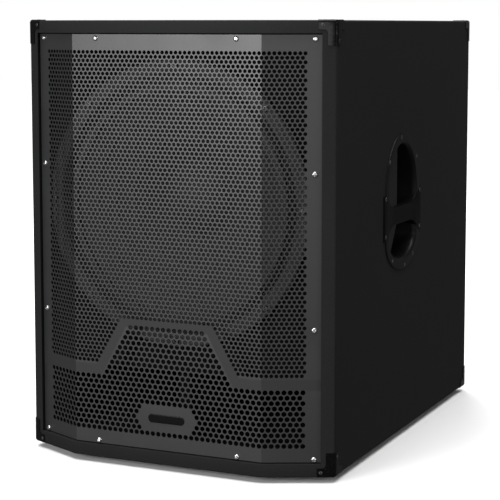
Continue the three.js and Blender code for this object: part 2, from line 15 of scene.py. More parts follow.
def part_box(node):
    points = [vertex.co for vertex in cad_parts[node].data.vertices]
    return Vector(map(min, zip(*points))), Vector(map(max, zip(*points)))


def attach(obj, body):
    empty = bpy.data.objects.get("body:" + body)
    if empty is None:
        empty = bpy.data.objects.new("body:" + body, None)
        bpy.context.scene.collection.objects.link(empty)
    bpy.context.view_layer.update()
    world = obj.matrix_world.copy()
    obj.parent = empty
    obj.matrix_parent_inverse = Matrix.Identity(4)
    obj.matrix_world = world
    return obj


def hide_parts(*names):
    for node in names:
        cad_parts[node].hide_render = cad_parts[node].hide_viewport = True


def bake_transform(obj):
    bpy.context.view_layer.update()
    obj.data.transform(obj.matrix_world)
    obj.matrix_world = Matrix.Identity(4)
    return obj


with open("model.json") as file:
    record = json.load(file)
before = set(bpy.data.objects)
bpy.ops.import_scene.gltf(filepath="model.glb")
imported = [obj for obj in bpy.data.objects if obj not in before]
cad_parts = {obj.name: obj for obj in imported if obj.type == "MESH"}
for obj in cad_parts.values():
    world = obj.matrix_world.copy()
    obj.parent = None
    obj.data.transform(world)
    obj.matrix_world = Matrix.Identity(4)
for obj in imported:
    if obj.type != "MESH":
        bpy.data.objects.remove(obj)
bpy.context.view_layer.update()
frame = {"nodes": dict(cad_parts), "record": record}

# ---- driving sizes, read from the frame ----------------------------------------------------------

MM = 0.001
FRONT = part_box("top_panel")[0].y
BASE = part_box("bottom_panel")[0].z
PLACE = Matrix.Translation((0, FRONT, BASE)) @ Matrix.Diagonal((MM, MM, MM, 1))


def cabinet_box(node):
    """A CAD node's lowest and highest corners in the cabinet's millimetres."""
    back = PLACE.inverted()
    low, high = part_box(node)
    return back @ low, back @ high


HALF = cabinet_box("right_side_panel")[1].x
HEIGHT = cabinet_box("right_side_panel")[1].z
DEPTH = cabinet_box("right_side_panel")[1].y
WALL = cabinet_box("bottom_panel")[1].z
INNER = HALF - WALL
FLAT_HALF = 164
WING_SETBACK = 49
WING_ANGLE = math.atan2(WING_SETBACK, HALF - FLAT_HALF)
WING_SLOPE = math.tan(WING_ANGLE)

GRILLE_FACE = cabinet_box("grille")[0].y
GRILLE_SHEET = 1.5
GRILLE_LOW = cabinet_box("grille")[0].z
GRILLE_HIGH = cabinet_box("grille")[1].z
GRILLE_RUN = (cabinet_box("grille")[1].x - FLAT_HALF) / math.cos(WING_ANGLE)
SCREW_RUN = 81
CENTRE_SCREW_X = 122
SCREW_HEIGHTS = (26, 228, 467.7, 671.7)

FINE = {"pitch": 7.8, "hole": 3.17}
COARSE = {"pitch": 9.7, "hole": 3.95}
BAND = {"low": 141.75, "high": 222.5, "foot": 120, "shoulder": 76, "above": 5.6, "below": 3.2}
PLATE = {"half": 50, "taper": 11.5, "half_tall": 21, "height": 72.5}
MARGIN = {"bottom": 37.5, "top": 660, "wing": 69.5}

DRIVER_LOW, DRIVER_HIGH = cabinet_box("driver_gasket")
DRIVER_Z = (DRIVER_LOW.z + DRIVER_HIGH.z) / 2
GASKET_R = DRIVER_HIGH.x
GASKET_INNER = 206
GASKET_FRONT = DRIVER_LOW.y
GASKET_BACK = DRIVER_HIGH.y
CONE_RIM, CONE_RIM_Y = 188, 46
CONE_NECK, CONE_NECK_Y = 51.7, 139
CONE_THICK = 1.8

HANDLE_Y = 356
HANDLE_Z = 375
CUP_HALF = 86
CUP_STRAIGHT = 38
CUP_RISE = 100
CUP_DROP = 56
CUP_PROUD = 2.1
CUP_DEEP = 62
DEEP_FROM = -18
RAMP_FROM = -71
RAMP_DROP = 3.5

CORNER_ARM = 28
CORNER_DROP = 38
CORNER_WIDE = 14
CORNER_SKIN = 1.0
CORNER_GAP = 0.15


# ---- node graphs ---------------------------------------------------------------------------------

class Wire:
    """One output socket, on which Python's operators add Math nodes."""

    def __init__(self, graph, socket):
        self.graph = graph
        self.socket = socket

    def maths(self, operation, *values):
        settings = {"operation": operation}
        return self.graph.node("ShaderNodeMath", settings, dict(enumerate(values)))

    def __add__(self, other):
        return self.maths("ADD", self, other)

    def __radd__(self, other):
        return self.maths("ADD", other, self)

    def __sub__(self, other):
        return self.maths("SUBTRACT", self, other)

    def __rsub__(self, other):
        return self.maths("SUBTRACT", other, self)

    def __mul__(self, other):
        return self.maths("MULTIPLY", self, other)

    def __rmul__(self, other):
        return self.maths("MULTIPLY", other, self)

    def __truediv__(self, other):
        return self.maths("DIVIDE", self, other)

    def __neg__(self):
        return self.maths("MULTIPLY", self, -1)

    def __abs__(self):
        return self.maths("ABSOLUTE", self)

    def __pow__(self, other):
        return self.maths("POWER", self, other)

    def __mod__(self, other):
        return self.maths("FLOORED_MODULO", self, other)

    def above(self, other):
        return self.maths("GREATER_THAN", self, other)

    def below(self, other):
        return self.maths("LESS_THAN", self, other)

    def lower(self, other):
        return self.maths("MINIMUM", self, other)

    def higher(self, other):
        return self.maths("MAXIMUM", self, other)

    def sine(self):
        return self.maths("SINE", self)

    def out(self, name):
        """Another output of the same node."""
        return Wire(self.graph, self.socket.node.outputs[name])


class Graph:
    """A node tree, shader or geometry, with one way to add any node."""

    def __init__(self, tree):
        self.tree = tree

    def node(self, kind, settings=None, inputs=None, output=0):
        """Adds a node: its settings first, then the values or wires of its inputs."""
        made = self.tree.nodes.new(kind)
        for key, value in (settings or {}).items():
            if key == "stops":
                set_stops(made.color_ramp, value)
            else:
                setattr(made, key, value)
        for key, value in (inputs or {}).items():
            self.feed(made.inputs[key], value)
        return Wire(self, made.outputs[output]) if len(made.outputs) else made

    def feed(self, socket, value):
        if isinstance(value, (list, tuple)) and value and isinstance(value[0], Wire):
            for wire in reversed(value):
                self.tree.links.new(wire.socket, socket)
        elif isinstance(value, Wire):
            self.tree.links.new(value.socket, socket)
        else:
            socket.default_value = value


def set_stops(ramp, stops):
    """A ramp's stops, each a position and a grey or a colour."""
    while len(ramp.elements) < len(stops):
        ramp.elements.new(0.5)
    for element, (position, value) in zip(ramp.elements, stops):
        element.position = position
        element.color = colour(value)


def colour(value):
    """A grey number or an RGB triple as RGBA."""
    return (value, value, value, 1) if isinstance(value, (int, float)) else (*value, 1)


class Finish(Graph):
    """A material: a Principled shader with its constants set by name."""

    def __init__(self, name, **constants):
        self.material = bpy.data.materials.new(name)
        self.material.use_nodes = True
        super().__init__(self.material.node_tree)
        self.surface = self.tree.nodes["Principled BSDF"]
        for key, value in constants.items():
            self.surface.inputs[key.replace("_", " ")].default_value = value
        self.place = self.node("ShaderNodeTexCoord", output="Object")

    def noise(self, size, detail=2.0, roughness=0.5, vector=None):
        """Fractal noise whose blobs are about size millimetres across, from 0 to 1."""
        inputs = {"Vector": vector or self.place, "Scale": 1 / (size * MM)}
        inputs |= {"Detail": detail, "Roughness": roughness}
        return self.node("ShaderNodeTexNoise", {"noise_dimensions": "3D"}, inputs, "Fac")

    def cells(self, size):
        """Distance in a pattern of cells about size millimetres across."""
        inputs = {"Vector": self.place, "Scale": 1 / (size * MM)}
        return self.node("ShaderNodeTexVoronoi", {"feature": "F1"}, inputs, "Distance")

    def stretched(self, x, y, z):
        """Object coordinates scaled along each axis, for a grain that runs one way."""
        inputs = {"Vector": self.place, "Scale": (x, y, z)}
        return self.node("ShaderNodeMapping", {"vector_type": "POINT"}, inputs)

    def axes(self):
        """The object's x, y and z in millimetres of the row frame."""
        split = self.node("ShaderNodeSeparateXYZ", inputs={"Vector": self.place}, output="X")
        return split / MM, split.out("Y") / MM, split.out("Z") / MM

    def ramp(self, value, *stops):
        """A soft step or colour run over a value."""
        return self.node("ShaderNodeValToRGB", {"stops": stops}, {"Fac": value}, "Color")

    def mix(self, factor, first, second):
        """A colour between two colours."""
        first = first if isinstance(first, Wire) else colour(first)
        second = second if isinstance(second, Wire) else colour(second)
        inputs = {0: factor, 6: first, 7: second}
        return self.node("ShaderNodeMix", {"data_type": "RGBA"}, inputs, 2)

    def shade(self, base, roughness, height=None, distance=0.1, strength=1.0):
        """Feeds the surface its colour, its roughness and a bump height in units of distance millimetres."""
        self.feed(self.surface.inputs["Base Color"], base)
        self.feed(self.surface.inputs["Roughness"], roughness)
        if height is not None:
            inputs = {"Height": height, "Distance": distance * MM, "Strength": strength}
            self.feed(self.surface.inputs["Normal"], self.node("ShaderNodeBump", inputs=inputs))
        return self.material


# ---- finishes ------------------------------------------------------------------------------------

def edge_closeness(finish, reach):
    """1 on the box's outer arrises, falling to 0 at reach millimetres from them."""
    x, y, z = finish.axes()
    to_side = HALF - abs(x)
    to_end = (HEIGHT / 2) - abs(z - (BASE / MM + HEIGHT / 2))
    to_front = (DEPTH / 2) - abs(y - (FRONT / MM + DEPTH / 2))
    low = to_side.lower(to_end)
    high = to_side.higher(to_end)
    second = low.higher(high.lower(to_front))
    return (1 - second / reach).higher(0)


def textured_paint():
    """Matt black structured paint: orange peel with coarser grains, rubbed a little at the edges."""
    finish = Finish("textured_paint", Specular_IOR_Level=0.2)
    grain = finish.cells(1.5)
    peel = finish.noise(2.6, 3.0, 0.6)
    height = finish.ramp(grain, (0.1, 1.0), (0.75, 0.0)) * 0.6 + peel * 0.7
    cloud = finish.noise(90, 3.0)
    speck = finish.ramp(finish.noise(1.3, 1.0), (0.52, 0.0), (0.68, 1.0))
    base = finish.mix(cloud, (0.0105, 0.0108, 0.0115), (0.0150, 0.0153, 0.0160))
    base = finish.mix(speck * 0.35, base, (0.034, 0.034, 0.035))
    rub = edge_closeness(finish, 5.0) * finish.ramp(finish.noise(7, 4.0, 0.7), (0.5, 0.0), (0.72, 1.0))
    base = finish.mix(rub * 0.5, base, (0.045, 0.044, 0.043))
    roughness = 0.62 + cloud * 0.14 - rub * 0.12
    return finish.shade(base, roughness, height, 0.22, 0.8)


def inside_board_paint():
    """Thin black paint rolled on to birch ply, with the wood's grain just telling through."""
    finish = Finish("inside_board_paint", Specular_IOR_Level=0.12)
    grain = finish.noise(5, 4.0, 0.6, finish.stretched(0.12, 0.7, 1))
    base = finish.mix(grain, (0.003, 0.003, 0.0032), (0.0075, 0.0073, 0.007))
    return finish.shade(base, 0.72 + grain * 0.18, grain, 0.15, 0.5)


def beside_band(u, h):
    """Distances from the band's centre line, out to the fine holes and in to the coarse ones."""
    rise = BAND["high"] - BAND["low"]
    run = BAND["foot"] - BAND["shoulder"]
    length = math.hypot(rise, run)
    leg = (u - BAND["foot"]) * (rise / length) + (h - BAND["low"]) * (run / length)
    over = (h - BAND["high"]).higher((h - BAND["low"]).lower(leg))
    under = (BAND["low"] - h).higher((BAND["high"] - h).lower(-leg))
    return over, under


def powder_coat():
    """Satin black powder coat on the punched sheet, duller on the band, with a painted highlight: the
    punched zones round the holes are kept lighter and the solid band is painted darker.
    """
    finish = Finish("grille_powder_coat", Specular_IOR_Level=0.8)
    peel = finish.noise(1.1, 2.0)
    cloud = finish.noise(60, 2.0)
    fleck = finish.ramp(finish.noise(0.8, 1.0), (0.6, 0.0), (0.75, 1.0))
    base = finish.mix(cloud, (0.018, 0.0185, 0.0195), (0.025, 0.0255, 0.0265))
    base = finish.mix(fleck * 0.4, base, (0.06, 0.06, 0.062))
    # Painted highlight: the solid band is painted darker than the punched zones, so the webs between the
    # holes read lighter, as if their edges caught the light; the band is also made rougher
    x, _, z = finish.axes()
    over, under = beside_band(abs(x), z - BASE / MM)
    beyond = (over - BAND["above"]).higher(under - BAND["below"])
    band = (1.7 - beyond / 4).higher(0).lower(1)
    base = finish.mix(band * 0.9, base, (0.006, 0.006, 0.0065))
    return finish.shade(base, 0.40 + cloud * 0.08 + band * 0.24, peel, 0.05, 0.6)


def bright_zinc():
    """Bright zinc plate on the screws, with fine turning marks and a little dulling."""
    finish = Finish("bright_zinc", Metallic=1.0)
    haze = finish.noise(3, 3.0)
    scratch = finish.noise(0.6, 2.0, 0.5, finish.stretched(1, 1, 5))
    base = finish.mix(haze, (0.60, 0.61, 0.63), (0.80, 0.80, 0.81))
    return finish.shade(base, 0.16 + scratch * 0.2, scratch, 0.02, 0.4)


def black_screw():
    """Black oxide on the wood screws and frame bolts, worn to metal on its high spots."""
    finish = Finish("black_screw", Metallic=0.7)
    haze = finish.noise(2, 3.0)
    worn = finish.ramp(haze, (0.4, 0.0), (0.65, 1.0))
    base = finish.mix(worn, (0.04, 0.04, 0.042), (0.24, 0.24, 0.245))
    return finish.shade(base, 0.32 + haze * 0.2, haze, 0.03, 0.3)


def moulded_plastic(name, gloss):
    """Satin black moulding with a fine spark-eroded grain."""
    finish = Finish(name, Specular_IOR_Level=gloss)
    grain = finish.cells(0.9)
    cloud = finish.noise(35, 3.0)
    base = finish.mix(cloud, (0.0030, 0.0031, 0.0034), (0.0060, 0.0061, 0.0065))
    return finish.shade(base, 0.36 + cloud * 0.12, grain, 0.05, 0.5)


def glossy_moulding():
    """Polished black plastic of the corner protectors, with hairline scuffs from handling."""
    finish = Finish("glossy_moulding", Specular_IOR_Level=0.17)
    scuff = finish.ramp(finish.noise(2.2, 5.0, 0.7, finish.stretched(0.25, 1, 1)), (0.55, 0.0), (0.68, 1.0))
    wave = finish.noise(14, 2.0)
    base = finish.mix(scuff * 0.3, (0.0030, 0.0031, 0.0034), (0.030, 0.030, 0.032))
    return finish.shade(base, 0.09 + scuff * 0.22 + wave * 0.05, wave + scuff * 0.1, 0.10, 0.25)


def badge_lacquer():
    """Gloss black lacquer on the plain badge bar, over a very fine brushed grain."""
    finish = Finish("badge_lacquer", Specular_IOR_Level=0.12)
    brush = finish.noise(0.8, 2.0, 0.5, finish.stretched(0.05, 1, 1))
    base = finish.mix(brush, (0.004, 0.004, 0.0045), (0.010, 0.010, 0.011))
    return finish.shade(base, 0.22 + brush * 0.1, brush, 0.02, 0.3)


def closed_foam():
    """Closed-cell foam and rubber of the gasket."""
    finish = Finish("gasket_foam", Specular_IOR_Level=0.35)
    pores = finish.cells(0.8)
    cloud = finish.noise(20, 2.0)
    base = finish.mix(cloud, (0.036, 0.036, 0.037), (0.058, 0.058, 0.060))
    return finish.shade(base, 0.66 + cloud * 0.12, pores, 0.12, 0.7)


def radius_and_angle(finish):
    """Distance from the driver's axis in millimetres, and the angle round it in radians."""
    x, _, z = finish.axes()
    up = z - (BASE / MM + DRIVER_Z)
    radius = (x * x + up * up) ** 0.5
    return radius, up.maths("ARCTAN2", up, x)


def pressed_paper():
    """Black pressed pulp with felted fibres and the faint rings of its mould."""
    finish = Finish("pressed_paper", Specular_IOR_Level=0.35)
    radius, _ = radius_and_angle(finish)
    fibre = finish.noise(3.5, 6.0, 0.75)
    rings = (radius * 1.6).sine()
    base = finish.mix(fibre, (0.024, 0.024, 0.025), (0.055, 0.054, 0.053))
    return finish.shade(base, 0.55 + fibre * 0.25, fibre + rings * 0.06, 0.25, 0.7)


def sealed_cloth():
    """Black doped cloth: a woven grain round and across the rolls, filled by a satin dope."""
    finish = Finish("sealed_cloth", Specular_IOR_Level=0.4, Sheen_Weight=0.15)
    radius, angle = radius_and_angle(finish)
    across = (radius * 7.0).sine()
    along = (angle * 1400.0).sine()
    cloud = finish.noise(12, 3.0)
    base = finish.mix(cloud, (0.014, 0.014, 0.015), (0.030, 0.030, 0.031))
    return finish.shade(base, 0.45 + cloud * 0.2, across * along * 0.5 + 0.5, 0.12, 0.6)


def amber_weave():
    """Resin-dipped woven cotton of the spider."""
    finish = Finish("amber_weave", Specular_IOR_Level=0.3)
    radius, angle = radius_and_angle(finish)
    across = (radius * 5.0).sine()
    along = (angle * 500.0).sine()
    weave = across * along * 0.5 + 0.5
    cloud = finish.noise(15, 3.0)
    base = finish.mix(weave * 0.6 + cloud * 0.4, (0.26, 0.14, 0.035), (0.56, 0.36, 0.13))
    return finish.shade(base, 0.7 + cloud * 0.2, weave, 0.2, 0.7)


def cast_alloy_paint():
    """Satin black paint over sand-cast alloy."""
    finish = Finish("cast_alloy_paint", Specular_IOR_Level=0.45)
    cast = finish.noise(2.2, 4.0, 0.65)
    cloud = finish.noise(40, 2.0)
    base = finish.mix(cloud, (0.013, 0.013, 0.014), (0.023, 0.023, 0.024))
    return finish.shade(base, 0.42 + cast * 0.2, cast, 0.2, 0.5)


def zinc_plate():
    """Dull zinc plate of the motor's steel parts, turned and slightly blotched."""
    finish = Finish("zinc_plate", Metallic=1.0)
    radius, _ = radius_and_angle(finish)
    lathe = (radius * 9.0).sine()
    blotch = finish.noise(18, 4.0, 0.6)
    base = finish.mix(blotch, (0.34, 0.335, 0.32), (0.52, 0.52, 0.51))
    return finish.shade(base, 0.3 + blotch * 0.2, lathe * 0.5 + blotch, 0.03, 0.4)


def ferrite():
    """Matt dark ceramic with a pressed, slightly pitted skin."""
    finish = Finish("ferrite", Specular_IOR_Level=0.4)
    pit = finish.noise(1.2, 5.0, 0.7)
    cloud = finish.noise(25, 2.0)
    base = finish.mix(cloud, (0.024, 0.024, 0.026), (0.040, 0.040, 0.043))
    return finish.shade(base, 0.6 + pit * 0.2, pit, 0.15, 0.6)


def amber_film():
    """Amber heat-proof film of the coil former."""
    finish = Finish("amber_film", Coat_Weight=0.2)
    streak = finish.noise(6, 3.0, 0.5, finish.stretched(1, 0.1, 1))
    base = finish.mix(streak, (0.26, 0.14, 0.03), (0.40, 0.24, 0.07))
    return finish.shade(base, 0.28 + streak * 0.15, streak, 0.05, 0.3)


def wound_wire():
    """Copper-clad flat wire, wound edge to edge: fine ridges along the coil."""
    finish = Finish("wound_wire", Metallic=1.0)
    _, y, _ = finish.axes()
    turns = (y * 14.0).sine()
    stain = finish.noise(5, 3.0)
    base = finish.mix(stain, (0.50, 0.20, 0.08), (0.66, 0.30, 0.14))
    return finish.shade(base, 0.25 + stain * 0.15, turns, 0.1, 0.7)


def black_rubber():
    """Matt rubber with a faint bloom."""
    finish = Finish("black_rubber", Specular_IOR_Level=0.3)
    bloom = finish.noise(10, 4.0, 0.6)
    grain = finish.noise(0.9, 2.0)
    base = finish.mix(bloom, (0.0085, 0.0085, 0.0088), (0.021, 0.021, 0.0205))
    return finish.shade(base, 0.68 + bloom * 0.2, grain, 0.08, 0.5)


def lead_jacket():
    """Flexible jacket of the inner lead, with a soft satin skin."""
    finish = Finish("lead_jacket", Specular_IOR_Level=0.4)
    skin = finish.noise(4, 3.0)
    base = finish.mix(skin, (0.010, 0.010, 0.0105), (0.020, 0.020, 0.020))
    return finish.shade(base, 0.4 + skin * 0.2, skin, 0.08, 0.4)


def contact_metal():
    """Nickel plate on the socket's contacts."""
    finish = Finish("contact_metal", Metallic=1.0)
    haze = finish.noise(2, 3.0)
    base = finish.mix(haze, (0.55, 0.50, 0.38), (0.72, 0.68, 0.55))
    return finish.shade(base, 0.25 + haze * 0.2, haze, 0.02, 0.3)


def floor_paper():
    """Pale studio floor."""
    finish = Finish("floor_paper", Specular_IOR_Level=0.1)
    cloud = finish.noise(400, 2.0)
    base = finish.mix(cloud, 0.86, 0.90)
    return finish.shade(base, 0.85 + cloud * 0.1)


FINISHES = {
    "paint": textured_paint(),
    "board": inside_board_paint(),
    "grille": powder_coat(),
    "bright_screws": bright_zinc(),
    "nameplate": badge_lacquer(),
    "basket": cast_alloy_paint(),
    "gasket": closed_foam(),
    "surround": sealed_cloth(),
    "cone_paper": pressed_paper(),
    "former_film": amber_film(),
    "coil_wire": wound_wire(),
    "spider_cloth": amber_weave(),
    "plated_steel": zinc_plate(),
    "ferrite": ferrite(),
    "moulding": moulded_plastic("moulded_plastic", 0.17),
    "corner_moulding": glossy_moulding(),
    "feet_rubber": black_rubber(),
    "lead_jacket": lead_jacket(),
}
GRIP_PLASTIC = moulded_plastic("grip_plastic", 0.045)
BLACK_SCREW = black_screw()
CONTACT = contact_metal()


# ---- mesh helpers --------------------------------------------------------------------------------

def finish_piece(name, mesh, slot, nodes=(), body="cabinet", material=None, sharp=35.0, blend=None):
    """A finished piece from a mesh in the cabinet's millimetres: placed, shaded, standing in for the CAD
    nodes it hides, and parented to its body's empty, or left fixed in place when blend is given.
    """
    mesh.transform(PLACE)
    mesh.materials.clear()
    mesh.materials.append(material or FINISHES[slot])
    mesh.shade_smooth()
    mesh.set_sharp_from_angle(angle=math.radians(sharp))
    piece = bpy.data.objects.new(name, mesh)
    bpy.context.scene.collection.objects.link(piece)
    if nodes:
        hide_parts(*nodes)
    if blend:
        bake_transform(piece)
    else:
        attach(piece, body)
    return piece


def to_mesh(bm):
    """A bmesh as a mesh, its doubles merged and its faces turned outwards."""
    bmesh.ops.remove_doubles(bm, verts=bm.verts, dist=0.002)
    bmesh.ops.recalc_face_normals(bm, faces=bm.faces)
    mesh = bpy.data.meshes.new("shape")
    bm.to_mesh(mesh)
    bm.free()
    return mesh


def loft(bm, rings, matrix=Matrix.Identity(4)):
    """Skins between rings of points, all with the same count, and caps the first and last."""
    rows = [[bm.verts.new(matrix @ Vector(point)) for point in ring] for ring in rings]
    for first, second in zip(rows, rows[1:]):
        count = len(first)
        for i in range(count):
            j = (i + 1) % count
            bm.faces.new((first[i], first[j], second[j], second[i]))
    bm.faces.new(rows[0])
    bm.faces.new(rows[-1])


def on_circle(radius, angle, height):
    """A point at an angle round the local Z axis."""
    return Vector((radius * math.cos(angle), radius * math.sin(angle), height))


ON_AXIS = 1e-6


def turn(bm, profile, segments, matrix=Matrix.Identity(4), sweep=math.tau, start=0.0):
    """Turns a profile of (radius, height) points about the local Z axis, a part turn with flat ends."""
    whole = sweep >= math.tau
    steps = segments if whole else segments + 1
    loop = profile[0] == profile[-1]
    points = profile[:-1] if loop else profile
    rows = []
    for i in range(steps):
        angle = start + sweep * i / segments
        rows.append([bm.verts.new(matrix @ on_circle(r, angle, height)) for r, height in points])
    pairs = list(zip(rows, rows[1:])) + ([(rows[-1], rows[0])] if whole else [])
    count = len(points)
    for first, second in pairs:
        for k in range(count if loop else count - 1):
            m = (k + 1) % count
            if points[k][0] < ON_AXIS and points[m][0] < ON_AXIS:
                continue
            corners = [first[k], first[m], second[m], second[k]]
            if points[k][0] < ON_AXIS:
                corners.pop(3)
            elif points[m][0] < ON_AXIS:
                corners.pop(2)
            bm.faces.new(corners)
    if not whole and loop:
        bm.faces.new(rows[0])
        bm.faces.new(rows[-1])


# The driver's axis: local Z runs forward, out of the cabinet
DRIVER_AXIS = Matrix.Translation((0, 0, DRIVER_Z)) @ Matrix.Rotation(math.radians(90), 4, "X")


def along_driver(profile):
    """A profile of (radius, cabinet y) points as (radius, height) on the driver's axis."""
    return [(radius, -y) for radius, y in profile]


def prism(bm, outline, low, high, matrix=Matrix.Identity(4)):
    """An outline of (x, y) points raised from low to high."""
    loft(bm, [[(x, y, z) for x, y in outline] for z in (low, high)], matrix)


def stacked(rings, matrix=Matrix.Identity(4)):
    """A loft as a mesh of its own."""
    bm = bmesh.new()
    loft(bm, rings, matrix)
    return to_mesh(bm)


def turned(profile, segments, matrix=Matrix.Identity(4)):
    """A full turn of a profile as a mesh of its own."""
    bm = bmesh.new()
    turn(bm, profile, segments, matrix)
    return to_mesh(bm)


def raised(outline, low, high, matrix=Matrix.Identity(4)):
    """A prism as a mesh of its own."""
    bm = bmesh.new()
    prism(bm, outline, low, high, matrix)
    return to_mesh(bm)


def rectangle(left, low, right, high):
    """An outline from two opposite corners."""
    return [(left, low), (right, low), (right, high), (left, high)]


def levels_of(outline, levels):
    """Rings of an outline function's points, each level being its arguments and a height."""
    return [[(x, y, z) for x, y in outline(*sizes)] for *sizes, z in levels]


def facing_front(y, z):
    """Local x runs to the right, local y up and local z out of the front, from a face at y and a height."""
    return Matrix(((1, 0, 0, 0), (0, 0, -1, y), (0, 1, 0, z), (0, 0, 0, 1)))


def arc(cx, cy, rx, ry, start, end, steps):
    """Points along part of an ellipse, angles in degrees."""
    points = []
    for i in range(steps + 1):
        t = math.radians(start + (end - start) * i / steps)
        points.append((cx + rx * math.cos(t), cy + ry * math.sin(t)))
    return points


def oblong(half_wide, half_tall, radius, steps=6):
    """A rectangle with round corners, centred on the origin."""
    points = []
    for k, (sx, sy) in enumerate(((1, -1), (1, 1), (-1, 1), (-1, -1))):
        cx, cy = sx * (half_wide - radius), sy * (half_tall - radius)
        points += arc(cx, cy, radius, radius, -90 + 90 * k, 90 * k, steps)
    return points


def soften(bm, chosen, radius, segments=3):
    """Rounds the edges that the chosen function picks by their two end points."""
    bm.edges.ensure_lookup_table()
    edges = [e for e in bm.edges if chosen(e.verts[0].co, e.verts[1].co)]
    bmesh.ops.bevel(bm, geom=edges, offset=radius, offset_type="OFFSET", segments=segments, profile=0.5,
                    affect="EDGES", clamp_overlap=True)


def carve(body, *cutters, operation="DIFFERENCE"):
    """A mesh with others cut from it, or kept in common with it, by exact booleans."""
    work = bpy.data.objects.new("carving", body)
    bpy.context.scene.collection.objects.link(work)
    tools = []
    for number, cutter in enumerate(cutters):
        tool = bpy.data.objects.new(f"cutter_{number}", cutter)
        bpy.context.scene.collection.objects.link(tool)
        modifier = work.modifiers.new(f"cut_{number}", "BOOLEAN")
        modifier.operation = operation
        modifier.solver = "EXACT"
        modifier.object = tool
        tools.append(tool)
    mesh = evaluated_mesh(work)
    for thing in [work, *tools]:
        bpy.data.objects.remove(thing)
    return mesh


def evaluated_mesh(thing):
    """What an object's modifiers make of it, as a plain mesh."""
    graph = bpy.context.evaluated_depsgraph_get()
    graph.update()
    return bpy.data.meshes.new_from_object(thing.evaluated_get(graph), depsgraph=graph)


def mirrored(mesh):
    """A copy of a mesh mirrored from right to left, still facing outwards."""
    copy = mesh.copy()
    copy.transform(Matrix.Diagonal((-1, 1, 1, 1)))
    copy.flip_normals()
    return copy


def wing_y(x):
    """How far the swept-back wing lies behind the flat centre."""
    return max(0.0, abs(x) - FLAT_HALF) * WING_SLOPE


# ---- box -----------------------------------------------------------------------------------------

ARRIS = 3.5
FRONT_ARRIS = 2.0
SEAM = 0.02


def near(value, target, slack=0.5):
    return abs(value - target) < slack


def both(a, b, test):
    return test(a) and test(b)


def end_panel(low, high, outer):
    """The top or bottom board between the side panels, its outer front and back arrises rounded."""
    half = INNER - SEAM
    wing = wing_y(half)
    outline = [(-half, wing), (-FLAT_HALF, 0), (FLAT_HALF, 0), (half, wing), (half, DEPTH), (-half, DEPTH)]
    bm = bmesh.new()
    prism(bm, outline, low, high)
    bmesh.ops.recalc_face_normals(bm, faces=bm.faces)

    def outer_arris(a, b):
        across = not (near(a.x, b.x) and near(a.y, b.y))
        along_joint = near(abs(a.x), half) and near(abs(b.x), half) and near(a.x, b.x)
        return across and not along_joint and both(a, b, lambda p: near(p.z, outer))

    soften(bm, outer_arris, FRONT_ARRIS)
    return to_mesh(bm)


def side_panel():
    """The right side board, its outside arrises and its upright front edge rounded."""
    inner = INNER + SEAM
    outline = [(inner, wing_y(inner)), (HALF, WING_SETBACK), (HALF, DEPTH), (inner, DEPTH)]
    bm = bmesh.new()
    prism(bm, outline, 0, HEIGHT)
    bmesh.ops.recalc_face_normals(bm, faces=bm.faces)
    soften(bm, lambda a, b: both(a, b, lambda p: near(p.x, HALF)), ARRIS, 4)
    return to_mesh(bm)


def cylinder_cutter(radius, low, high, matrix, segments=64):
    return turned([(0, low), (radius, low), (radius, high), (0, high)], segments, matrix)


POLE_Y = 369
POLE_FLANGE = 48
POLE_THICK = 3
POLE_OUTER = 21.2
POLE_DEEP = 95
POLE_SCREW_R = 36
POLE_AXIS = Matrix.Translation((0, POLE_Y, HEIGHT))
CUT_OVER = 5
CLEARANCE = 0.3
DISH_OPENING = (60.5, 42.5, 9)
CUP_OPENING_INSET = 7.5

# Local x runs to the cabinet's left seen from the front, local y up and local z out of the back
REAR = Matrix(((-1, 0, 0, 0), (0, 0, 1, DEPTH), (0, 1, 0, 240), (0, 0, 0, 1)))
# Local x runs back along the right side, local y up and local z out of the side
SIDE = Matrix(((0, 0, 1, HALF), (1, 0, 0, HANDLE_Y), (0, 1, 0, HANDLE_Z), (0, 0, 0, 1)))


def lobe(inset, steps=28):
    """The handle cup's oval: two half ellipses joined by short straight sides."""
    half = CUP_HALF - inset
    upper = arc(0, CUP_STRAIGHT, half, CUP_RISE - inset, 0, 180, steps)
    return upper + arc(0, -CUP_STRAIGHT, half, CUP_DROP - inset, 180, 360, steps)


def make_box():
    """The five painted boards, with their openings for the fittings."""
    through = -WALL - CUT_OVER
    seat = cylinder_cutter(POLE_FLANGE + CLEARANCE, -POLE_THICK - CLEARANCE, CUT_OVER, POLE_AXIS)
    bore = cylinder_cutter(POLE_OUTER + CLEARANCE, through, CUT_OVER, POLE_AXIS, 32)
    top = carve(end_panel(HEIGHT - WALL, HEIGHT, HEIGHT), seat, bore)
    finish_piece("painted_top", top, "paint", ["top_panel"])
    finish_piece("painted_bottom", end_panel(0, WALL, 0), "paint", ["bottom_panel"])
    side = carve(side_panel(), raised(lobe(CUP_OPENING_INSET), through, CUT_OVER, SIDE))
    finish_piece("painted_left_side", mirrored(side), "paint", ["left_side_panel"])
    finish_piece("painted_right_side", side, "paint", ["right_side_panel"])
    half = INNER - SEAM
    plan = rectangle(-half, DEPTH - WALL, half, DEPTH)
    board = raised(plan, WALL + SEAM, HEIGHT - WALL - SEAM)
    opening = raised(oblong(*DISH_OPENING), through, CUT_OVER, REAR)
    finish_piece("painted_back", carve(board, opening), "paint", ["rear_panel"])


# ---- perforated grille ---------------------------------------------------------------------------

COARSE_STRIP_ROWS = (6, 12)
FINE_STRIP_ROWS = range(31, 94, 8)
FINE_SIDES = 10
COARSE_SIDES = 12


def row_height(lattice_of):
    return lattice_of["pitch"] * math.sqrt(3) / 2


def strip_heights():
    """Heights that pass between rows of holes, where the sheet is filled strip by strip."""
    coarse = [GRILLE_LOW + (row + 0.5) * row_height(COARSE) for row in COARSE_STRIP_ROWS]
    fine = [GRILLE_LOW + (row + 0.5) * row_height(FINE) for row in FINE_STRIP_ROWS]
    return [GRILLE_LOW, *coarse, *fine, GRILLE_HIGH]


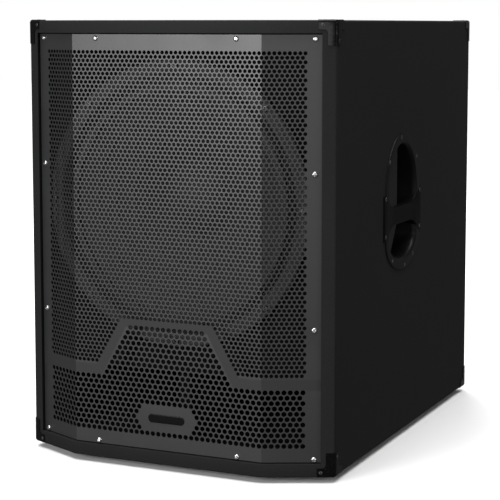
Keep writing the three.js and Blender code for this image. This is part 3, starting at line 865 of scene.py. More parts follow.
def lattice(graph, kind, sides, inside, low, high):
    """Round holes on a staggered lattice, kept between two heights and where inside allows."""
    pitch, hole, row = kind["pitch"], kind["hole"], row_height(kind)
    first_column = math.floor(-(FLAT_HALF + GRILLE_RUN) / pitch)
    columns = 1 - 2 * first_column
    rows = math.ceil((GRILLE_HIGH - GRILLE_LOW) / row) + 1
    inputs = {"Size X": (columns - 1) * pitch, "Size Y": (rows - 1) * row}
    inputs |= {"Vertices X": columns, "Vertices Y": rows}
    grid = graph.node("GeometryNodeMeshGrid", inputs=inputs)
    index = graph.node("GeometryNodeInputIndex")
    stagger = (index % rows % 2) * (pitch / 2)
    centre_u = (first_column + (columns - 1) / 2) * pitch
    shift = graph.node("ShaderNodeCombineXYZ", inputs={"X": stagger + centre_u, "Y": (rows - 1) * row / 2})
    moved = graph.node("GeometryNodeSetPosition", inputs={"Geometry": grid, "Offset": shift})
    position = graph.node("GeometryNodeInputPosition")
    across = graph.node("ShaderNodeSeparateXYZ", inputs={"Vector": position}, output="X")
    height = across.out("Y") + GRILLE_LOW
    chosen = inside(across, height, hole) * height.above(low) * height.below(high)
    inputs = {"Resolution": sides, "Radius": hole}
    circle = graph.node("GeometryNodeCurvePrimitiveCircle", {"mode": "RADIUS"}, inputs)
    inputs = {"Points": moved, "Selection": chosen, "Instance": circle}
    holes = graph.node("GeometryNodeInstanceOnPoints", inputs=inputs)
    return graph.node("GeometryNodeRealizeInstances", inputs={"Geometry": holes})


def grille_sheet_tree(graph, _):
    """The grille laid out flat, its holes in two sizes with solid bands between them."""

    def fine(u, h, hole):
        wide = abs(u)
        over, _ = beside_band(wide, h)
        kept = wide.below(FLAT_HALF + MARGIN["wing"] - hole) * h.below(MARGIN["top"] - hole)
        return kept * over.above(BAND["above"] + hole)

    def coarse(u, h, hole):
        wide = abs(u)
        _, under = beside_band(wide, h)
        rise = abs(h - PLATE["height"])
        beyond_tip = wide - PLATE["half"] + rise * (PLATE["taper"] / PLATE["half_tall"])
        off_plate = (rise - PLATE["half_tall"]).higher(beyond_tip).above(hole * 0.6)
        kept = wide.below(FLAT_HALF + MARGIN["wing"] - hole) * h.above(MARGIN["bottom"] + hole)
        return kept * off_plate * under.above(BAND["below"] + hole)

    strips = []
    heights = strip_heights()
    for low, high in zip(heights, heights[1:]):
        inputs = {"Width": 2 * (FLAT_HALF + GRILLE_RUN), "Height": high - low}
        outline = graph.node("GeometryNodeCurvePrimitiveQuadrilateral", {"mode": "RECTANGLE"}, inputs)
        offset = (0, (low + high) / 2 - GRILLE_LOW, 0)
        outline = graph.node("GeometryNodeSetPosition", inputs={"Geometry": outline, "Offset": offset})
        curves = [
            outline,
            lattice(graph, FINE, FINE_SIDES, fine, low, high),
            lattice(graph, COARSE, COARSE_SIDES, coarse, low, high),
        ]
        joined = graph.node("GeometryNodeJoinGeometry", inputs={"Geometry": curves})
        strips.append(graph.node("GeometryNodeFillCurve", {"mode": "TRIANGLES"}, {"Curve": joined}))
    face = graph.node("GeometryNodeJoinGeometry", inputs={"Geometry": strips})
    face = graph.node("GeometryNodeMergeByDistance", inputs={"Geometry": face, "Distance": 0.001})
    inputs = {"Mesh": face, "Offset Scale": GRILLE_SHEET, "Individual": False}
    front = graph.node("GeometryNodeExtrudeMesh", {"mode": "FACES"}, inputs)
    back = graph.node("GeometryNodeFlipFaces", inputs={"Mesh": face})
    solid = graph.node("GeometryNodeJoinGeometry", inputs={"Geometry": [front, back]})
    return graph.node("GeometryNodeMergeByDistance", inputs={"Geometry": solid, "Distance": 0.001})


def made_by_nodes(name, build, carrier=None, values=None):
    """A plain mesh from a node tree, which ends in Realize Instances and Set Material."""
    tree = bpy.data.node_groups.new(name, "GeometryNodeTree")
    tree.interface.new_socket("Geometry", in_out="INPUT", socket_type="NodeSocketGeometry")
    identifiers = {}
    for label, value in (values or {}).items():
        kind = "NodeSocketInt" if isinstance(value, int) else "NodeSocketFloat"
        if isinstance(value, bpy.types.Object):
            kind = "NodeSocketObject"
        identifiers[label] = tree.interface.new_socket(label, in_out="INPUT", socket_type=kind).identifier
    tree.interface.new_socket("Geometry", in_out="OUTPUT", socket_type="NodeSocketGeometry")
    graph = Graph(tree)
    source = graph.node("NodeGroupInput")
    made = build(graph, source)
    real = graph.node("GeometryNodeRealizeInstances", inputs={"Geometry": made})
    done = graph.node("GeometryNodeSetMaterial", inputs={"Geometry": real, "Material": FINISHES["grille"]})
    graph.node("NodeGroupOutput", inputs={"Geometry": done})
    start = bpy.data.objects.new(name + "_carrier", carrier or bpy.data.meshes.new(name))
    bpy.context.scene.collection.objects.link(start)
    modifier = start.modifiers.new(name, "NODES")
    modifier.node_group = tree
    for label, value in (values or {}).items():
        modifier[identifiers[label]] = value
    mesh = evaluated_mesh(start)
    bpy.data.objects.remove(start)
    return mesh


def between_creases(flat, low, high):
    """The part of the flat sheet between two uprights, its cut ends closed and mitred for the fold."""
    bm = bmesh.new()
    bm.from_mesh(flat)
    mitre = math.tan(WING_ANGLE / 2)
    for at, outward in ((low, -1), (high, 1)):
        if at is None:
            continue
        everything = bm.verts[:] + bm.edges[:] + bm.faces[:]
        bmesh.ops.bisect_plane(bm, geom=everything, dist=1e-4, plane_co=(at, 0, 0), plane_no=(outward, 0, 0),
                               clear_outer=True)
        bmesh.ops.holes_fill(bm, edges=[edge for edge in bm.edges if edge.is_boundary], sides=0)
        for vertex in bm.verts:
            if abs(vertex.co.x - at) < 1e-3:
                vertex.co.x -= outward * (GRILLE_SHEET - vertex.co.z) * mitre
    mesh = bpy.data.meshes.new("sheet")
    bm.to_mesh(mesh)
    bm.free()
    return mesh


def make_grille():
    """The bent sheet as its flat centre and two wings, which meet at the creases."""
    flat = made_by_nodes("punched_sheet", grille_sheet_tree)
    upright = facing_front(GRILLE_FACE + GRILLE_SHEET, GRILLE_LOW)
    panels = (
        ("centre", -FLAT_HALF, FLAT_HALF, 0),
        ("left_wing", None, -FLAT_HALF, -1),
        ("right_wing", FLAT_HALF, None, 1),
    )
    for name, low, high, side in panels:
        mesh = between_creases(flat, low, high)
        crease = Matrix.Translation((side * FLAT_HALF, GRILLE_FACE, 0))
        fold = crease @ Matrix.Rotation(side * WING_ANGLE, 4, "Z") @ crease.inverted()
        mesh.transform(fold @ upright)
        finish_piece("punched_grille_" + name, mesh, "grille", ["grille"] if side == 0 else [], sharp=20)


# ---- screws --------------------------------------------------------------------------------------

def screw_head(radius, tall, recess=0.32, rounding=0.85):
    """A pan head seen from outside, with a cross recess, its underside on local z = 0."""
    crown = [(0, 1), (0.45, 0.985), (0.72, rounding), (0.92, 0.55), (1, 0.22), (1, 0), (0, 0)]
    body = turned([(radius * across, tall * up) for across, up in crown], 20)
    long, wide = radius * 0.56, radius * 0.13
    slots = []
    for quarter in (0, 1):
        way = Matrix.Rotation(math.pi / 2 * quarter, 4, "Z")
        low = tall * (1 - recess * 1.6)
        slots.append(raised(rectangle(-long, -wide, long, wide), low, tall + 1, way))
    return carve(body, *slots)


def screw_tree(graph, source):
    """One head on every point, facing along its stored direction, with a random turn of its slot."""
    facing = graph.node("GeometryNodeInputNamedAttribute", {"data_type": "FLOAT_VECTOR"}, {"Name": "facing"})
    lean = graph.node("FunctionNodeAlignRotationToVector", {"axis": "Z"}, {"Vector": facing})
    inputs = {2: 0.0, 3: math.pi, "Seed": source.out("Seed")}
    turn_by = graph.node("FunctionNodeRandomValue", {"data_type": "FLOAT"}, inputs, 1)
    spin = graph.node("ShaderNodeCombineXYZ", inputs={"Z": turn_by})
    spun = graph.node("FunctionNodeRotateRotation", {"rotation_space": "LOCAL"}, {0: lean, 1: spin})
    inputs = {"Object": source.out("Head")}
    head = graph.node("GeometryNodeObjectInfo", {"transform_space": "ORIGINAL"}, inputs, "Geometry")
    points = graph.node("GeometryNodeMeshToPoints", {"mode": "VERTICES"}, {"Mesh": source})
    inputs = {"Points": points, "Instance": head, "Rotation": spun}
    return graph.node("GeometryNodeInstanceOnPoints", inputs=inputs)


def screws(name, head, places, slot, nodes=(), material=None, seed=7):
    """A group of like screws at (point, direction) places, as one piece."""
    carrier = bpy.data.meshes.new(name)
    carrier.from_pydata([tuple(point) for point, _ in places], [], [])
    facing = carrier.attributes.new("facing", "FLOAT_VECTOR", "POINT")
    facing.data.foreach_set("vector", [number for _, direction in places for number in direction])
    tool = bpy.data.objects.new(name + "_head", head)
    bpy.context.scene.collection.objects.link(tool)
    mesh = made_by_nodes(name + "_tree", screw_tree, carrier, {"Head": tool, "Seed": seed})
    bpy.data.objects.remove(tool)
    finish_piece(name, mesh, slot, nodes, material=material, sharp=30)


def grille_screw_places():
    """The twelve places on the sheet's face."""
    places = []
    wing_x = FLAT_HALF + SCREW_RUN * math.cos(WING_ANGLE)
    wing_face = wing_y(wing_x) + GRILLE_FACE
    for side in (-1, 1):
        out = Vector((side * math.sin(WING_ANGLE), -math.cos(WING_ANGLE), 0))
        for height in SCREW_HEIGHTS:
            places.append((Vector((side * wing_x, wing_face, height)), out))
        for height in (SCREW_HEIGHTS[0], SCREW_HEIGHTS[-1]):
            places.append((Vector((side * CENTRE_SCREW_X, GRILLE_FACE, height)), Vector((0, -1, 0))))
    return places


def make_grille_screws():
    nodes = [f"grille_screw_{number:02d}" for number in range(1, 13)]
    screws("grille_screw_heads", screw_head(4.4, 2.4), grille_screw_places(), "bright_screws", nodes)


# ---- badge ---------------------------------------------------------------------------------------

def make_badge():
    """A plain bar with a domed face on the grille's solid plate."""
    half, half_tall, thick = 32, 7, 1.2
    crown = ((0, 0), (0, 0.6), (0.35, 0.95), (1.0, 1.12), (2.6, thick), (5.4, thick))

    def outline(inset):
        return oblong(half - inset, half_tall - inset, half_tall - inset, 10)

    bar = stacked(levels_of(outline, crown), facing_front(GRILLE_FACE - SEAM, PLATE["height"]))
    finish_piece("plain_badge_bar", bar, "nameplate", ["nameplate"])


# ---- driver --------------------------------------------------------------------------------------

BOLTS = 8
BOLT_R = 219
CONE_RIBS = (0.38, 0.56, 0.74)
RIB_TALL = 1.6
RIB_WIDE = 0.012
CONE_BOW = 7
DOME_R = 58.6
DOME_TALL = 24
DOME_FOOT = 130.8
DOME_THICK = 1.5


def cone_front(steps):
    """The cone's front line with three pressed ribs."""
    line = []
    for i in range(steps + 1):
        t = i / steps
        rib = sum(math.exp(-((t - place) / RIB_WIDE) ** 2) for place in CONE_RIBS)
        bow = CONE_BOW * math.sin(math.pi * t) + RIB_TALL * rib
        y = CONE_NECK_Y + (CONE_RIM_Y - CONE_NECK_Y) * t - bow
        line.append((CONE_NECK + (CONE_RIM - CONE_NECK) * t, y))
    return line


def shell(line, thick):
    """A closed profile: a front line and the same line moved back."""
    return [*line, *[(radius, y + thick) for radius, y in reversed(line)], line[0]]


def roll_line(inner, outer, front, count, rise, flat, steps):
    """Half-round rolls between two radii with a flat lip at each end."""
    line = [(inner, front)]
    span = outer - inner - 2 * flat
    for i in range(count * steps + 1):
        t = i / (count * steps)
        line.append((inner + flat + span * t, front - rise * abs(math.sin(math.pi * count * t)) ** 0.8))
    line.append((outer, front))
    return line


def suspension(name, node, slot, line, thick, sectors, inner, outer):
    """A flexible ring in equal sectors, each a piece of its own, left fixed in place."""
    step = math.tau / sectors
    for number in range(sectors):
        bm = bmesh.new()
        turn(bm, along_driver(shell(line, thick)), 6, DRIVER_AXIS, step, number * step)
        middle = (number + 0.5) * step
        start, end = (DRIVER_AXIS @ on_circle(r, middle, -line[0][1]) for r in (inner, outer))
        ties = ("cone_assembly", "cabinet", start, end)
        nodes = [node] if number == 0 else []
        finish_piece(f"{name}_{number + 1:02d}", to_mesh(bm), slot, nodes, blend=ties)


def dome_line(foot, steps=16):
    """The dust dome's section, from the axis out to its foot."""
    line = []
    for i in range(steps + 1):
        line.append((DOME_R * i / steps, foot - DOME_TALL * (1 - (i / steps) ** 2)))
    return line


def make_driver():
    """The cone, the dome glued to it, and the surround and spider that carry it."""
    cone = turned(along_driver(shell(cone_front(110), CONE_THICK)), 96, DRIVER_AXIS)
    finish_piece("pressed_cone", cone, "cone_paper", ["cone"], body="cone_assembly")
    dome = dome_line(DOME_FOOT) + dome_line(DOME_FOOT + DOME_THICK)[::-1]
    bm = bmesh.new()
    turn(bm, along_driver(dome), 72, DRIVER_AXIS)
    glue = [(57.2, 130.2), (58.8, 129.5), (60.6, 130.2), (61.6, 131.8), (60.2, 132.8),
            (57.6, 131.6), (57.2, 130.2)]
    turn(bm, along_driver(glue), 72, DRIVER_AXIS)
    finish_piece("dust_dome", to_mesh(bm), "cone_paper", ["dust_cap"], body="cone_assembly")
    rolls = roll_line(180, 216, CONE_RIM_Y - 1.5, 3, 6, 10.5, 8)
    suspension("cloth_surround", "surround", "surround", rolls, 1.2, 24, 189, 211)
    web = roll_line(51.5, 101, 166, 4, 2.2, 4, 6)
    suspension("woven_spider", "spider", "spider_cloth", web, 1.0, 12, 54, 98)
    make_gasket()


def make_gasket():
    """The ring that seals the frame, in raised segments with a gap at each bolt, and the bolts."""
    sheet = 2.0

    def section(low, high, front, back, bevel_in, bevel_back):
        return [(low, back), (low, front + bevel_back), (low + bevel_in, front), (high - bevel_in, front),
                (high, front + bevel_back), (high, back), (low, back)]

    bm = bmesh.new()
    ring = section(GASKET_INNER, GASKET_R, GASKET_BACK - sheet, GASKET_BACK, 0.6, 0.4)
    turn(bm, along_driver(ring), 144, DRIVER_AXIS)
    step = math.tau / BOLTS
    gap = math.radians(5.2)
    pad = section(GASKET_INNER + 1.2, GASKET_R - 1.0, GASKET_FRONT, GASKET_BACK - 1.5, 0.8, 0.8)
    for number in range(BOLTS):
        turn(bm, along_driver(pad), 16, DRIVER_AXIS, step - gap, number * step + gap / 2)
    finish_piece("segmented_gasket", to_mesh(bm), "gasket", ["driver_gasket"], sharp=40)
    places = []
    for number in range(BOLTS):
        point = DRIVER_AXIS @ on_circle(BOLT_R, number * step, sheet - GASKET_BACK)
        places.append((point, Vector((0, -1, 0))))
    head = screw_head(5.2, 3.6, 0.5, 0.97)
    screws("driver_bolts", head, places, "bright_screws", material=BLACK_SCREW, seed=3)


# ---- handles -------------------------------------------------------------------------------------

def grip_outline(grow, steps=10):
    """The grip: waisted in the middle, as tall as the band at its ends, joined by curves."""
    end, tall, waist = 95 + grow, 38 + grow, 15 + grow
    start, knee, flare = 38, 62, 79

    def sweep_out(sx, sy):
        points = []
        for i in range(steps + 1):
            t = i / steps
            x = (1 - t) ** 2 * start + 2 * t * (1 - t) * knee + t * t * flare
            y = (1 - t) ** 2 * waist + 2 * t * (1 - t) * waist + t * t * tall
            points.append((sx * x, sy * y))
        return points

    right = sweep_out(1, -1) + [(end, -tall), (end, tall)] + sweep_out(1, 1)[::-1]
    left = sweep_out(-1, 1) + [(-end, tall), (-end, -tall)] + sweep_out(-1, -1)[::-1]
    return right + left


# A prism's local y runs out of the cup and its height runs up the cup
UP_THE_CUP = Matrix(((1, 0, 0, 0), (0, 0, 1, 0), (0, 1, 0, 0), (0, 0, 0, 1)))
FAR = 200


def cup_mesh():
    """The right cup in its own axes: a rounded flange, a deep pocket, and a shallow ramp in front."""
    face, floor = CUP_PROUD, -CUP_DEEP
    flange = [(8, floor), (8, 0.3), (0, 0.3), (0, face - 1.4), (0.5, face - 0.6), (1.6, face - 0.1),
              (2.6, face), (30, face)]
    pocket = [(14, face + 4), (14.6, face + 0.4), (15.4, face - 0.25), (17, face - 1.2),
              (18.6, face - 3.0), (19.6, face - 5.4), (20, face - 9), (21.6, floor + 11),
              (23.5, floor + 6.5), (27, floor + 4), (32, floor + 3)]
    hollow = stacked(levels_of(lobe, pocket))
    front = [(DEEP_FROM, FAR), (DEEP_FROM, -14), (-58, -62), (-58, -FAR)]
    deep = raised(front + [(140, -FAR), (140, FAR)], floor - 5, 40)
    start, end = RAMP_FROM - 14, DEEP_FROM + 2
    section = [(start, 3.4), (RAMP_FROM, 0), (end, -RAMP_DROP), (end, 40), (start, 40)]
    ramp = raised(section, -FAR, FAR, UP_THE_CUP)
    deep_part = carve(hollow.copy(), deep, operation="INTERSECT")
    ramp_part = carve(hollow, ramp, operation="INTERSECT")
    return carve(stacked(levels_of(lobe, flange)), deep_part, ramp_part)


def grip_mesh():
    """The bar across the cup with softened edges."""
    face = CUP_PROUD + 0.15
    levels = [(-3.0, -18), (-0.8, -16.6), (0, -14), (0, face - 2.2), (-0.5, face - 0.9),
              (-1.5, face - 0.2), (-2.6, face)]
    end, under = -130, -0.4
    section = [(end, -60), (DEEP_FROM, -60), (DEEP_FROM, -RAMP_DROP - 0.5), (RAMP_FROM, under), (end, under)]
    below_ramp = raised(section, -FAR, FAR, UP_THE_CUP)
    return carve(stacked(levels_of(grip_outline, levels)), below_ramp)


def handle_screw_places():
    """Wood screws round the flange and at the corners of the band, on the right side."""
    spots = [(-12, 130), (-69, 92), (69, 92), (52, -74), (-52, -74), (10, -88)]
    spots += [(a, b) for a in (-87, 87) for b in (-30, 33)]
    return [(SIDE @ Vector((a, b, CUP_PROUD - 0.1)), Vector((1, 0, 0))) for a, b in spots]


def make_handles():
    """The two cups with their grips and screws, the left one mirrored from the right."""
    cup = cup_mesh()
    cup.transform(SIDE)
    grip = grip_mesh()
    grip.transform(SIDE)
    places = handle_screw_places()
    flipped = [(Vector((-p.x, p.y, p.z)), Vector((-1, 0, 0))) for p, _ in places]
    head = screw_head(3.6, 0.8, 1.0, 0.9)
    sides = (
        ("left", mirrored(cup), mirrored(grip), flipped),
        ("right", cup, grip, places),
    )
    for hand, shell_side, bar, spots in sides:
        cups, grips = [f"handle_cup_{hand}"], [f"handle_grip_{hand}"]
        finish_piece(f"{hand}_handle_shell", shell_side, "moulding", cups, sharp=32)
        finish_piece(f"{hand}_handle_bar", bar, "moulding", grips, material=GRIP_PLASTIC, sharp=32)
        screws(f"{hand}_handle_screws", head, spots, "moulding", material=BLACK_SCREW, seed=11)


# ---- corners, feet, back and top -----------------------------------------------------------------

class Corner:
    """A top right corner, where the face at y leans by angle and back is the way to the middle."""

    def __init__(self, y, back, angle):
        self.y, self.back, self.angle = y, back, angle
        self.tip = Vector((HALF, y, HEIGHT))
        self.across = Vector((-math.cos(angle), -math.sin(angle) * back, 0))
        self.along = Vector((0, back, 0))
        self.down = Vector((0, 0, -1))
        self.facing = Vector((math.sin(angle), -math.cos(angle) * back, 0))

    def plan(self, out, arm):
        """A plan outline that stands out from both upright faces and closes inside the box."""
        slide = -self.back * out * (1 - math.sin(self.angle)) / math.cos(self.angle)
        side_end = self.tip + Vector((out, self.back * arm, 0))
        edge = self.tip + Vector((out, slide, 0))
        face_end = self.tip + self.across * arm + self.facing * out
        inner_face = self.tip + self.across * arm - self.facing * arm * 0.6
        inner_side = self.tip + Vector((-arm * 0.6, self.back * arm, 0))
        return [(p.x, p.y) for p in (side_end, edge, face_end, inner_face, inner_side)]

    def block(self, out, arm, drop, rounding):
        """A block over the corner, its three outside edges rounded."""
        bm = bmesh.new()
        outline = self.plan(out, arm)
        prism(bm, outline, HEIGHT - drop, HEIGHT + out)
        bmesh.ops.recalc_face_normals(bm, faces=bm.faces)
        edge_x, edge_y = outline[1]

        def outside(a, b):
            at_edge = [near(p.x, edge_x, 0.01) and near(p.y, edge_y, 0.01) for p in (a, b)]
            on_top = near(a.z, HEIGHT + out, 0.01) and near(b.z, HEIGHT + out, 0.01)
            return all(at_edge) or (on_top and any(at_edge))

        soften(bm, outside, rounding, 5)
        return to_mesh(bm)

    def notch(self, first, second, out):
        """What is cut from one face between its two arms: an area with a round inner corner."""
        inner, fillet, far = CORNER_WIDE, 6, CORNER_DROP + 20
        curve = arc(inner + fillet, inner + fillet, fillet, fillet, 270, 180, 6)
        flat = [(far, inner), *curve, (inner, far), (far, far)]
        rings = []
        for depth in (-CORNER_WIDE * 0.6, 6):
            rings.append([self.tip + first * s + second * t + out * depth for s, t in flat])
        return stacked(rings)

    def protector(self):
        """Three thin arms along the box's edges, joined over its corner."""
        far = CORNER_GAP + CORNER_SKIN
        body = self.block(far, CORNER_ARM, CORNER_DROP, ARRIS + far)
        core = self.block(CORNER_GAP, CORNER_ARM + 12, CORNER_DROP + 20, ARRIS + CORNER_GAP)
        faces = (
            (self.across, self.down, self.facing),
            (self.along, self.down, Vector((1, 0, 0))),
            (self.across, self.along, Vector((0, 0, 1))),
        )
        return carve(body, core, *[self.notch(*face) for face in faces])

    def screw_places(self):
        """One screw near the end of one arm on each face."""
        sunk = CORNER_GAP + CORNER_SKIN - 0.3
        middle, end, low_end = CORNER_WIDE / 2, CORNER_ARM - 6, CORNER_DROP - 7
        side = Vector((1, 0, 0))
        up = Vector((0, 0, 1))
        return [
            (self.tip + self.across * end + self.down * middle + self.facing * sunk, self.facing),
            (self.tip + self.along * middle + self.down * low_end + side * sunk, side),
            (self.tip + self.along * end + self.across * middle + up * sunk, up),
        ]


def make_corners():
    """The eight protectors, mirrored from a front one and a rear one, and their screws."""
    turn_over = Matrix.Translation((0, 0, HEIGHT)) @ Matrix.Diagonal((1, 1, -1, 1))
    places = []
    for end, corner in (("front", Corner(WING_SETBACK, 1, WING_ANGLE)), ("rear", Corner(DEPTH, -1, 0.0))):
        shape = corner.protector()
        under = shape.copy()
        under.transform(turn_over)
        under.flip_normals()
        for level, mesh in (("top", shape), ("bottom", under)):
            for hand, made in (("left", mirrored(mesh)), ("right", mesh)):
                node = f"corner_{end}_{level}_{hand}"
                finish_piece(f"{end}_{level}_{hand}_protector", made, "corner_moulding", [node])
        for point, out in corner.screw_places():
            for sx in (-1, 1):
                x, lean = sx * point.x, sx * out.x
                places.append((Vector((x, point.y, point.z)), Vector((lean, out.y, out.z))))
                places.append((Vector((x, point.y, HEIGHT - point.z)), Vector((lean, out.y, -out.z))))
    head = screw_head(2.8, 0.7, 1.0, 0.9)
    screws("protector_screws", head, places, "corner_moulding", material=BLACK_SCREW, seed=5)


def make_feet():
    """Rubber feet with a rounded rim and a recessed steel washer and screw."""
    tall = BASE / MM
    profile = [(0, -3.2), (7.5, -3.2), (7.5, -tall + 1.0), (8.5, -tall), (15.2, -tall),
               (16.6, -tall + 0.5), (17.2, -tall + 1.6), (19.6, -1.4), (20, -0.3), (0, -0.3)]
    washer = [(3.0, -3.3), (6.9, -3.3), (6.9, -4.4), (3.0, -4.4), (3.0, -3.3)]
    places = []
    steel = bmesh.new()
    for hand in ("left", "right"):
        for end in ("front", "rear"):
            low, high = cabinet_box(f"foot_{end}_{hand}")
            centre = Matrix.Translation(((low.x + high.x) / 2, (low.y + high.y) / 2, 0))
            foot = turned(profile, 40, centre)
            finish_piece(f"{end}_{hand}_rubber_foot", foot, "feet_rubber", [f"foot_{end}_{hand}"])
            turn(steel, washer, 24, centre)
            places.append((centre @ Vector((0, 0, -4.3)), Vector((0, 0, -1))))
    finish_piece("foot_washers", to_mesh(steel), "plated_steel")
    screws("foot_screws", screw_head(4.6, 2.4), places, "plated_steel", seed=9)


DISH_DEEP = 22
SOCKET_APART = 52


def make_back_fittings():
    """The recessed connector dish, its two locking sockets and their screws."""
    face, floor = 2.8, -DISH_DEEP
    rim = [(60, 42, 9, floor - 2.5), (60, 42, 9, 0.3), (70, 52, 12, 0.3), (70, 52, 12, face - 1.2),
           (69.4, 51.4, 11.6, face - 0.4), (68, 50, 11, face), (40, 30, 6, face)]
    dish = [(59.5, 41.5, 9, face + 5), (59.5, 41.5, 9, face + 0.2), (58.6, 40.6, 8.4, face - 1.0),
            (57.6, 39.6, 7.6, face - 3.2), (56, 38, 7, floor + 2.5), (54.5, 36.5, 6, floor + 0.6),
            (52, 34, 5, floor)]
    body, hollow = (stacked(levels_of(oblong, levels), REAR) for levels in (rim, dish))
    holes = []
    for side in (-0.5, 0.5):
        axis = REAR @ Matrix.Translation((side * SOCKET_APART, 0, 0))
        holes.append(cylinder_cutter(12.1, floor - 8, floor + 8, axis, 40))
    recess = carve(body, hollow, *holes)
    finish_piece("connector_recess", recess, "moulding", ["connector_dish"], sharp=32)
    places = []
    contacts = bmesh.new()
    for number, side in ((1, -0.5), (2, 0.5)):
        axis = REAR @ Matrix.Translation((side * SOCKET_APART, 0, floor + 0.3))
        nodes = [f"speaker_socket_{number}"]
        finish_piece(f"locking_socket_{number}", socket_mesh(axis), "moulding", nodes, sharp=30)
        for x, y in ((-9.5, 12), (9.5, -12)):
            places.append((axis @ Vector((x, y, 2.4)), Vector((0, 1, 0))))
        for quarter in range(4):
            blade = axis @ Matrix.Rotation(math.pi / 2 * quarter + math.pi / 4, 4, "Z")
            prism(contacts, rectangle(5.5, -1.1, 6.3, 1.1), -22, -11, blade)
    finish_piece("socket_contacts", to_mesh(contacts), "bright_screws", material=CONTACT)
    screws("socket_screws", screw_head(2.6, 1.4), places, "bright_screws", material=BLACK_SCREW, seed=13)
    spots = [(a, b) for a in (-64.6, 64.6) for b in (-46.5, 46.5)] + [(0, 46.8), (0, -46.8)]
    sunk = face - 0.9
    places = [(REAR @ Vector((a, b, sunk)), Vector((0, 1, 0))) for a, b in spots]
    head = screw_head(3.2, 0.9, 1.0, 0.9)
    screws("recess_screws", head, places, "moulding", material=BLACK_SCREW, seed=15)


def socket_mesh(axis):
    """A chassis socket: a square plate, a round mouth with two keyways, and a hollow core."""
    levels = [(13, 15.5, 3, 0), (13, 15.5, 3, 1.9), (12.6, 15.1, 2.8, 2.4), (12.2, 14.7, 2.6, 2.5)]
    plate = stacked(levels_of(oblong, levels), axis)
    mouth = cylinder_cutter(10.4, -40, 10, axis, 48)
    wall = [(10.4, -26), (10.4, 2.6), (10.8, 3.0), (11.6, 3.0), (12.0, 2.6), (11.8, 0), (11.8, -26),
            (10.4, -26)]
    floor = [(0, -27), (11.8, -27), (11.8, -25.5), (0, -25.5)]
    core = [(3.2, -25.5), (5.5, -25.5), (5.5, -9.6), (5.1, -9), (3.6, -9), (3.2, -9.4), (3.2, -25.5)]
    ring = bmesh.new()
    for profile, segments in ((wall, 48), (floor, 48), (core, 32)):
        turn(ring, profile, segments, axis)
    for side in (-1, 1):
        prism(ring, rectangle(side * 9.2, -1.6, side * 10.6, 1.6), -25, -3, axis)
    barrel = to_mesh(ring)
    joined = bmesh.new()
    joined.from_mesh(carve(plate, mouth))
    joined.from_mesh(barrel)
    mesh = bpy.data.meshes.new("socket")
    joined.to_mesh(mesh)
    joined.free()
    return mesh


def make_pole_socket():
    """The steel cup for a speaker pole, with a turned flange and four screws."""
    wide, thick, outer, deep = POLE_FLANGE, POLE_THICK, POLE_OUTER, POLE_DEEP
    bore = outer - thick
    profile = [(0, -deep), (outer, -deep), (outer, -thick), (wide, -thick), (wide, -0.9),
               (wide - 0.6, -0.25), (wide - 1.6, 0), (outer + 0.2, 0), (bore + 1.4, -0.5),
               (bore + 0.3, -1.8), (bore, -3.6), (bore, thick - deep), (0, thick - deep)]
    finish_piece("pole_cup", turned(profile, 72, POLE_AXIS), "basket", ["pole_socket"], sharp=30)
    places = []
    for quarter in range(4):
        point = on_circle(POLE_SCREW_R, math.pi / 2 * quarter + math.pi / 4, -0.6)
        places.append((POLE_AXIS @ point, Vector((0, 0, 1))))
    head = screw_head(4.0, 0.7, 1.0, 0.9)
    screws("pole_cup_screws", head, places, "basket", material=BLACK_SCREW, seed=17)


# ---- studio --------------------------------------------------------------------------------------

def make_camera():
    """A long lens from the front right, level with the top of the cabinet."""
    lens = bpy.data.cameras.new("camera")
    lens.lens = 113.6
    lens.shift_y = -0.123
    camera = bpy.data.objects.new("camera", lens)
    bpy.context.scene.collection.objects.link(camera)
    camera.location = (1.127, -2.534, 0.703)
    camera.rotation_euler = (math.radians(90 - 5.93), 0, math.radians(24.35))
    bpy.context.scene.camera = camera


def softbox(name, place, target, size, power, tint=(1, 1, 1)):
    """An area light at a place, aimed at a target, both in metres."""
    light = bpy.data.lights.new(name, "AREA")
    light.shape = "RECTANGLE"
    light.size, light.size_y = size
    light.energy = power
    light.color = tint
    lamp = bpy.data.objects.new(name, light)
    bpy.context.scene.collection.objects.link(lamp)
    lamp.location = place
    lamp.rotation_euler = (Vector(target) - Vector(place)).to_track_quat("-Z", "Y").to_euler()


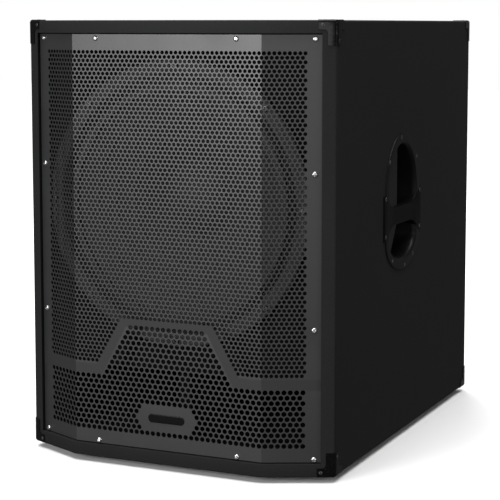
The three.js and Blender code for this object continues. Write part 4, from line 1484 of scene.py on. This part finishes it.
def make_studio():
    """A pale floor, a broad light overhead, softboxes, and a white background for the camera."""
    scene = bpy.context.scene
    scene.view_settings.view_transform = "Standard"
    bm = bmesh.new()
    half = 14
    bm.faces.new([bm.verts.new((x, y, 0)) for x, y in rectangle(-half, -half, half, half)])
    mesh = bpy.data.meshes.new("floor")
    bm.to_mesh(mesh)
    bm.free()
    mesh.materials.append(floor_paper())
    floor = bpy.data.objects.new("floor", mesh)
    scene.collection.objects.link(floor)
    floor.visible_glossy = False
    floor.visible_diffuse = False
    sun = bpy.data.lights.new("sky_panel", "SUN")
    sun.energy = 4.2
    sun.angle = math.radians(60)
    lamp = bpy.data.objects.new("sky_panel", sun)
    scene.collection.objects.link(lamp)
    lamp.rotation_euler = (math.radians(6), 0, 0)
    softbox("front_left", (-0.85, -2.9, 0.95), (0.05, -0.37, 0.45), (0.8, 0.9), 46)
    softbox("behind_camera", (1.5, -3.3, 1.0), (0.1, -0.37, 0.4), (1.2, 1.2), 13)
    softbox("edge_strip", (2.6, -0.9, 0.75), (0.25, -0.2, 0.45), (0.03, 1.5), 7)
    softbox("rear_fill", (-1.3, 2.9, 2.3), (-0.1, 0.3, 0.35), (1.6, 1.2), 60)
    world = bpy.data.worlds.new("studio")
    world.use_nodes = True
    graph = Graph(world.node_tree)
    graph.tree.nodes.clear()
    seen = graph.node("ShaderNodeLightPath", output="Is Camera Ray")
    dim = graph.node("ShaderNodeBackground", inputs={"Color": colour(1.0), "Strength": 0.12})
    white = graph.node("ShaderNodeBackground", inputs={"Color": colour(1.0), "Strength": 1.0})
    mixed = graph.node("ShaderNodeMixShader", inputs={0: seen, 1: dim, 2: white})
    graph.node("ShaderNodeOutputWorld", inputs={"Surface": mixed})
    scene.world = world


# ---- everything ----------------------------------------------------------------------------------

def dress_kept_nodes():
    """Every CAD node that stays in view takes its slot's finish."""
    for row in frame["record"]["subparts"]:
        node = frame["nodes"][row["node"]]
        node.data.materials.clear()
        node.data.materials.append(FINISHES[row["material_slot"]])


make_camera()
make_studio()
dress_kept_nodes()
make_box()
make_grille()
make_grille_screws()
make_badge()
make_driver()
make_handles()
make_corners()
make_feet()
make_back_fittings()
make_pole_socket()
